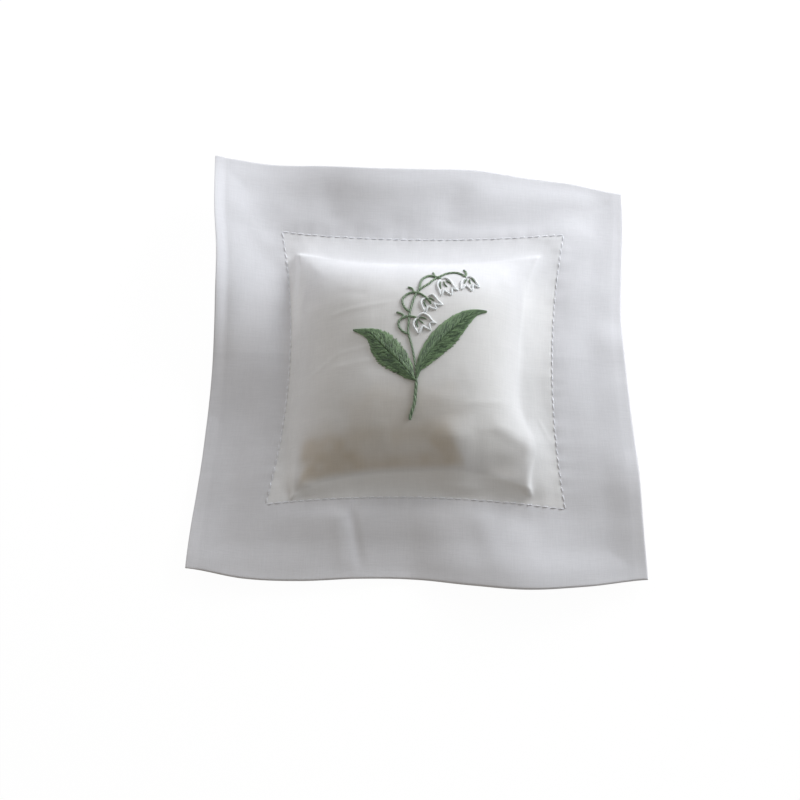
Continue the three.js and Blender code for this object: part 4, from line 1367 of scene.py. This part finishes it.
# How far strands start off their place, and end off their row's outer line
LEAF_JITTER = 0.35
LEAF_ROW_REACH = (-0.1, 0.08)
LEAF_RIM_REACH = (-0.06, 0.09)
# Shades of the strands: middle and spread, more for the upper half, and a painted highlight on the
# strands of the rim
LEAF_SHADES = (0.3, 0.3)
LEAF_UPPER_SHADE = 0.1
LEAF_RIM_PAINTED_HIGHLIGHT = 0.4
PADDING_SHADE = 0.12
# Lifts of the strands from the cloth, with a crown that sinks towards the leaf's tip
LEAF_EDGE_LIFT = 0.2
LEAF_CROWN = 0.5
LEAF_TIP_SHARE = 0.25
LEAF_ARCH = 0.12
LEAF_ROW_STEP = 0.05
LEAF_DIP_START = 0.2
LEAF_DIP_END = 0.15
LEAF_RADIUS_SHARES = np.array([0.7, 1, 1.05, 1.05, 1.05, 1, 0.6])
PADDING_WIDTH_SHARE = 0.93
PADDING_GRID = (50, 13)
PADDING_FLOOR = 0.03
PADDING_EDGE_LIFT = 0.08
PADDING_CROWN = 0.42

# Ropes of stem stitch: step, slant, lift and radius of their strands, as shares
ROPE_STEP_SHARE = 0.36
ROPE_SLANT_SHARE = 0.75
ROPE_LIFT_SHARE = 0.12
ROPE_ARCH_SHARE = 0.42
ROPE_ARCH_POWER = 0.7
ROPE_STRAND_SHARE = 0.27
ROPE_SHADE_JITTER = 0.12
ROPE_RADIUS_SHARES = np.array([0.6, 0.9, 1.1, 1.15, 1.1, 0.9, 0.6])

# Each rope's diameter, stitch length and contrast of its strands
LOWER_STEM_ROPE = (1.15, 3.0, 0.7)
STALK_ROPE = (0.76, 2.2, 0.8)
LOOP_ROPE = (0.82, 2.0, 0.6)
HOOK_ROPE = (0.75, 1.8, 0.3)

# Single strands: stops, and how they rise from the cloth and thicken from their ends
STROKE_STOPS = 13
STROKE_END_POWER = 0.35
STROKE_DIP_SHARE = 0.3
STROKE_END_SHARE = 0.45

# Bells: radius and lift of their strands, and the shades of the petals' six lines and the strokes
PETAL_RADIUS = 0.37
PETAL_LIFT = 0.38
PETAL_SHADES = [0.9, 0.6, 0.8, 0.7, 0.55, 1.0]
STROKE_RADIUS = 0.26
STROKE_LIFT = 0.3
STROKE_SHADES = [0.2, 0.3, 0.25]


def across_arch(share):
    """From 1 at a leaf's middle to 0 at its edge."""
    return np.sqrt(np.clip(1 - share ** 2, 0, 1))


def make_leaf(name, upper_px, lower_px, replaced, seed):
    random = np.random.default_rng(seed)
    upper = sprig_place(upper_px)
    lower = sprig_place(lower_px)
    middle = (upper + lower) / 2

    def place(t, share, edge):
        return mix(curve_at(middle, t), curve_at(edge, t), share[..., None])

    length = np.linalg.norm(np.diff(middle, axis=0), axis=1).sum()
    count = round(length / LEAF_SPACING)
    progress = np.linspace(0, 1, len(LEAF_RADIUS_SHARES))
    first, last = LEAF_ENDS_SHARES
    places, lifts, shades = [], [], []
    for edge, edge_shade in ((upper, LEAF_UPPER_SHADE), (lower, 0.0)):
        for row, (inner, outer) in enumerate(LEAF_ROW_SHARES):
            at_rim = outer == 1
            for k in range(-LEAF_LEAD, count):
                start = (k + random.uniform(-LEAF_JITTER, LEAF_JITTER)) / count
                reach = outer + random.uniform(*(LEAF_RIM_REACH if at_rim else LEAF_ROW_REACH))
                share = mix(inner, reach, progress)
                t = start + LEAF_SLANT * share
                if t[-1] < first or t[0] > last:
                    continue
                places.append(place(np.clip(t, 0, 1), share, edge))
                crown = LEAF_CROWN * across_arch(share) * min(1, (1 - start) / LEAF_TIP_SHARE)
                arch = LEAF_ARCH * np.sin(progress * math.pi)
                lifts.append(LEAF_EDGE_LIFT + crown + arch - LEAF_ROW_STEP * row)
                # The rim's strands are lighter: a painted highlight on the leaf's rounded edge
                shades.append(random.normal(*LEAF_SHADES) + edge_shade + LEAF_RIM_PAINTED_HIGHLIGHT * at_rim)
    places, lifts = np.array(places), np.array(lifts)
    lifts[:, 0] -= LEAF_DIP_START
    lifts[:, -1] -= LEAF_DIP_END
    paths, ups = on_front(places, lifts)
    radii = FLOSS_RADIUS * LEAF_RADIUS_SHARES
    dress(tubes(name, paths, ups, radii, np.clip(shades, 0, 1)), leaves, replaced)
    along = np.linspace(first, last, PADDING_GRID[0])
    across = np.linspace(-PADDING_WIDTH_SHARE, PADDING_WIDTH_SHARE, PADDING_GRID[1])
    t, share = grid(along, across)
    is_upper = share[..., None] > 0
    flat = np.where(is_upper, place(t, np.abs(share), upper), place(t, np.abs(share), lower))
    if np.cross(flat[1, 0] - flat[0, 0], flat[0, 1] - flat[0, 0]) < 0:
        flat = flat[:, ::-1]
        share = share[:, ::-1]
    high, _ = on_front(flat, PADDING_EDGE_LIFT + PADDING_CROWN * across_arch(share))
    low, _ = on_front(flat, PADDING_FLOOR)
    pad = grid_solid(f"{name}_padding", high, low, {"shade": np.full_like(share, PADDING_SHADE)})
    dress(pad, leaves, [])


def make_rope(name, points_px, diameter, stitch, contrast, replaced, seed):
    """Stem stitch: short strands, each beside the last, slanting across the line."""
    random = np.random.default_rng(seed)
    spacing = stitch * ROPE_STEP_SHARE
    line = even_curve(sprig_place(points_px), spacing)
    ahead = unit(np.gradient(line, axis=0))
    side = np.stack([-ahead[:, 1], ahead[:, 0]], 1)
    length = spacing * (len(line) - 1)
    at = np.linspace(0, length, len(line))
    progress = np.linspace(-0.5, 0.5, len(ROPE_RADIUS_SHARES))
    aside = progress * diameter * ROPE_SLANT_SHARE
    places, shades = [], []
    for k in range(len(line)):
        where = np.clip(at[k] + progress * stitch, 0, length)
        centre, across = (
            np.stack([np.interp(where, at, values[:, i]) for i in range(2)], 1)
            for values in (line, side)
        )
        places.append(centre + across * aside[:, None])
        jitter = random.uniform(-ROPE_SHADE_JITTER, ROPE_SHADE_JITTER)
        shades.append(0.5 + contrast * (0.5 if k % 2 else -0.5) + jitter)
    arch = np.cos(progress * math.pi) ** ROPE_ARCH_POWER
    lift = diameter * (ROPE_LIFT_SHARE + ROPE_ARCH_SHARE * arch)
    paths, ups = on_front(np.array(places), lift)
    radii = diameter * ROPE_STRAND_SHARE * ROPE_RADIUS_SHARES
    dress(tubes(name, paths, ups, radii, np.clip(shades, 0, 1)), stalks, replaced)


def make_strokes(name, lines_px, radius, lift, shades, finish, replaced):
    """Single strands, each along its own line and dipping into the cloth at both ends."""
    progress = np.linspace(0, 1, STROKE_STOPS)
    places = np.array([curve_at(sprig_place(line), progress) for line in lines_px])
    ends = np.sin(progress * math.pi) ** STROKE_END_POWER
    paths, ups = on_front(places, lift * mix(-STROKE_DIP_SHARE, 1, ends))
    radii = radius * mix(STROKE_END_SHARE, 1, ends)
    dress(tubes(name, paths, ups, radii, shades, sides=8), finish, replaced)


def make_sprig():
    make_leaf("leaf_left_floss", LEFT_LEAF_UPPER_PX, LEFT_LEAF_LOWER_PX, ["leaf_left"], 201)
    make_leaf("leaf_right_floss", RIGHT_LEAF_UPPER_PX, RIGHT_LEAF_LOWER_PX, ["leaf_right"], 202)
    make_rope("lower_stem_floss", LOWER_STEM_PX, *LOWER_STEM_ROPE, ["lower_stem"], 203)
    make_rope("stalk_floss", STALK_PX, *STALK_ROPE, ["stalk"], 204)
    for k, loop_px in enumerate(LOOP_PX):
        node = f"stalk_loop_{k + 1}"
        make_rope(f"{node}_floss", loop_px, *LOOP_ROPE, [node], 205 + k)
    for k, hook_px in enumerate(HOOK_PX):
        make_rope(f"bract_hook_{k + 1}", hook_px, *HOOK_ROPE, [], 215 + k)
    for k, (outline_px, strokes_px) in enumerate(zip(BELL_OUTLINE_PX, BELL_STROKE_PX)):
        node = f"flower_{k + 1}"
        make_strokes(f"{node}_petals", outline_px, PETAL_RADIUS, PETAL_LIFT, PETAL_SHADES,
                     petals, [node])
        make_strokes(f"{node}_strokes", strokes_px, STROKE_RADIUS, STROKE_LIFT, STROKE_SHADES,
                     strokes, [])


# Camera, lights and floor, in metres

SKY = (0.66, 0.82, 1.0)
# Name, place, target, size, spread in degrees, power, colour
LAMPS = [
    ("window", (0.3, 0.26, 0.15), (-0.02, 0, 0), 0.16, 120, 0.49, (1.0, 0.975, 0.97)),
    ("window_back", (0.2, 0.35, 0.15), (-0.02, 0, 0), 0.16, 120, 0.125, SKY),
    ("window_left", (-0.22, 0.28, 0.16), (-0.06, 0.06, 0), 0.22, 120, 0.213, (0.9, 0.93, 1.0)),
    ("window_right", (0.38, 0.12, 0.2), (0.03, 0.03, 0), 0.26, 120, 0.195, SKY),
]
ROOM_COLOUR = (1.0, 0.937, 0.855)
ROOM_STRENGTH = 0.283
FLOOR_HALF = 2.5
FLOOR_HEIGHT = -0.0004
FLOOR_COLOUR = (0.8, 0.8, 0.8)
FLOOR_GLOW = 1.05
FLOOR_GLOW_SHARE = 0.92


def camera_axes():
    azimuth, elevation, roll = np.radians([CAMERA_AZIMUTH, CAMERA_ELEVATION, CAMERA_ROLL]).tolist()
    back = Vector((
        math.sin(azimuth) * math.cos(elevation),
        -math.cos(azimuth) * math.cos(elevation),
        math.sin(elevation),
    ))
    level = (-back).cross(Vector((0, 0, 1))).normalized()
    rise = level.cross(-back)
    right = math.cos(roll) * level + math.sin(roll) * rise
    up = math.cos(roll) * rise - math.sin(roll) * level
    return right, up, back


def make_camera():
    right, up, back = camera_axes()
    target = Vector(np.array(CAMERA_TARGET) + COVER_SHIFT) * MM
    data = bpy.data.cameras.new("camera")
    data.sensor_fit = "HORIZONTAL"
    data.sensor_width = SENSOR_WIDTH
    data.lens = CAMERA_LENS
    data.clip_start = CAMERA_CLIP_START
    camera = add_object("camera", data)
    turned = Matrix((right, up, back)).transposed().to_4x4()
    camera.matrix_world = Matrix.Translation(target + back * CAMERA_DISTANCE * MM) @ turned
    bpy.context.scene.camera = camera


def add_lamp(name, place, target, size, spread, power, colour):
    data = bpy.data.lights.new(name, "AREA")
    data.size = size
    data.spread = math.radians(spread)
    data.energy = power
    data.color = colour
    lamp = add_object(name, data)
    lamp.location = place
    lamp.rotation_euler = (Vector(target) - Vector(place)).to_track_quat("-Z", "Y").to_euler()


def seen_by_eye(tree):
    """1 for what is seen directly, in a mirror or through glass, and 0 for light on the object."""
    path = add_node(tree, "ShaderNodeLightPath")
    gloss = maths(tree, "MAXIMUM", path.outputs["Is Glossy Ray"], path.outputs["Is Transmission Ray"])
    return maths(tree, "MAXIMUM", path.outputs["Is Camera Ray"], gloss)


def mixed_shaders(tree, factor, first, second):
    inputs = {0: factor, 1: first.outputs[0], 2: second.outputs[0]}
    return add_node(tree, "ShaderNodeMixShader", inputs)


def make_lights():
    for lamp in LAMPS:
        add_lamp(*lamp)
    world = bpy.data.worlds.new("room")
    bpy.context.scene.world = world
    world.use_nodes = True
    tree = world.node_tree
    dim = tree.nodes["Background"]
    set_inputs(tree, dim, {"Color": (*ROOM_COLOUR, 1), "Strength": ROOM_STRENGTH})
    white = add_node(tree, "ShaderNodeBackground", {"Color": (1, 1, 1, 1), "Strength": 1.0})
    both = mixed_shaders(tree, seen_by_eye(tree), dim, white)
    set_inputs(tree, tree.nodes["World Output"], {"Surface": both.outputs[0]})


def make_floor():
    """White table, which keeps the object's shadow and can be seen through from below."""
    mesh = bpy.data.meshes.new("floor")
    corners = [(x * FLOOR_HALF, y * FLOOR_HALF, FLOOR_HEIGHT)
               for x, y in ((-1, -1), (1, -1), (1, 1), (-1, 1))]
    mesh.from_pydata(corners, [], [(0, 1, 2, 3)])
    floor = add_object("floor", mesh)
    material = bpy.data.materials.new("floor")
    material.use_nodes = True
    tree = material.node_tree
    tree.nodes.remove(tree.nodes["Principled BSDF"])
    paint = add_node(tree, "ShaderNodeBsdfDiffuse", {"Color": (*FLOOR_COLOUR, 1)})
    glow = add_node(tree, "ShaderNodeEmission", {"Color": (1, 1, 1, 1), "Strength": FLOOR_GLOW})
    seen = maths(tree, "MULTIPLY", seen_by_eye(tree), FLOOR_GLOW_SHARE)
    top = mixed_shaders(tree, seen, paint, glow)
    below = add_node(tree, "ShaderNodeNewGeometry").outputs["Backfacing"]
    both = mixed_shaders(tree, below, top, add_node(tree, "ShaderNodeBsdfTransparent"))
    set_inputs(tree, tree.nodes["Material Output"], {"Surface": both.outputs[0]})
    mesh.materials.append(material)


make_camera()
make_lights()
make_floor()
bpy.context.scene.view_settings.view_transform = "Standard"

make_pouch()
make_front()
make_upper_back()
make_lower_back()
make_border_stitches()
make_hem_stitches()
make_rim_seam()
make_sprig()
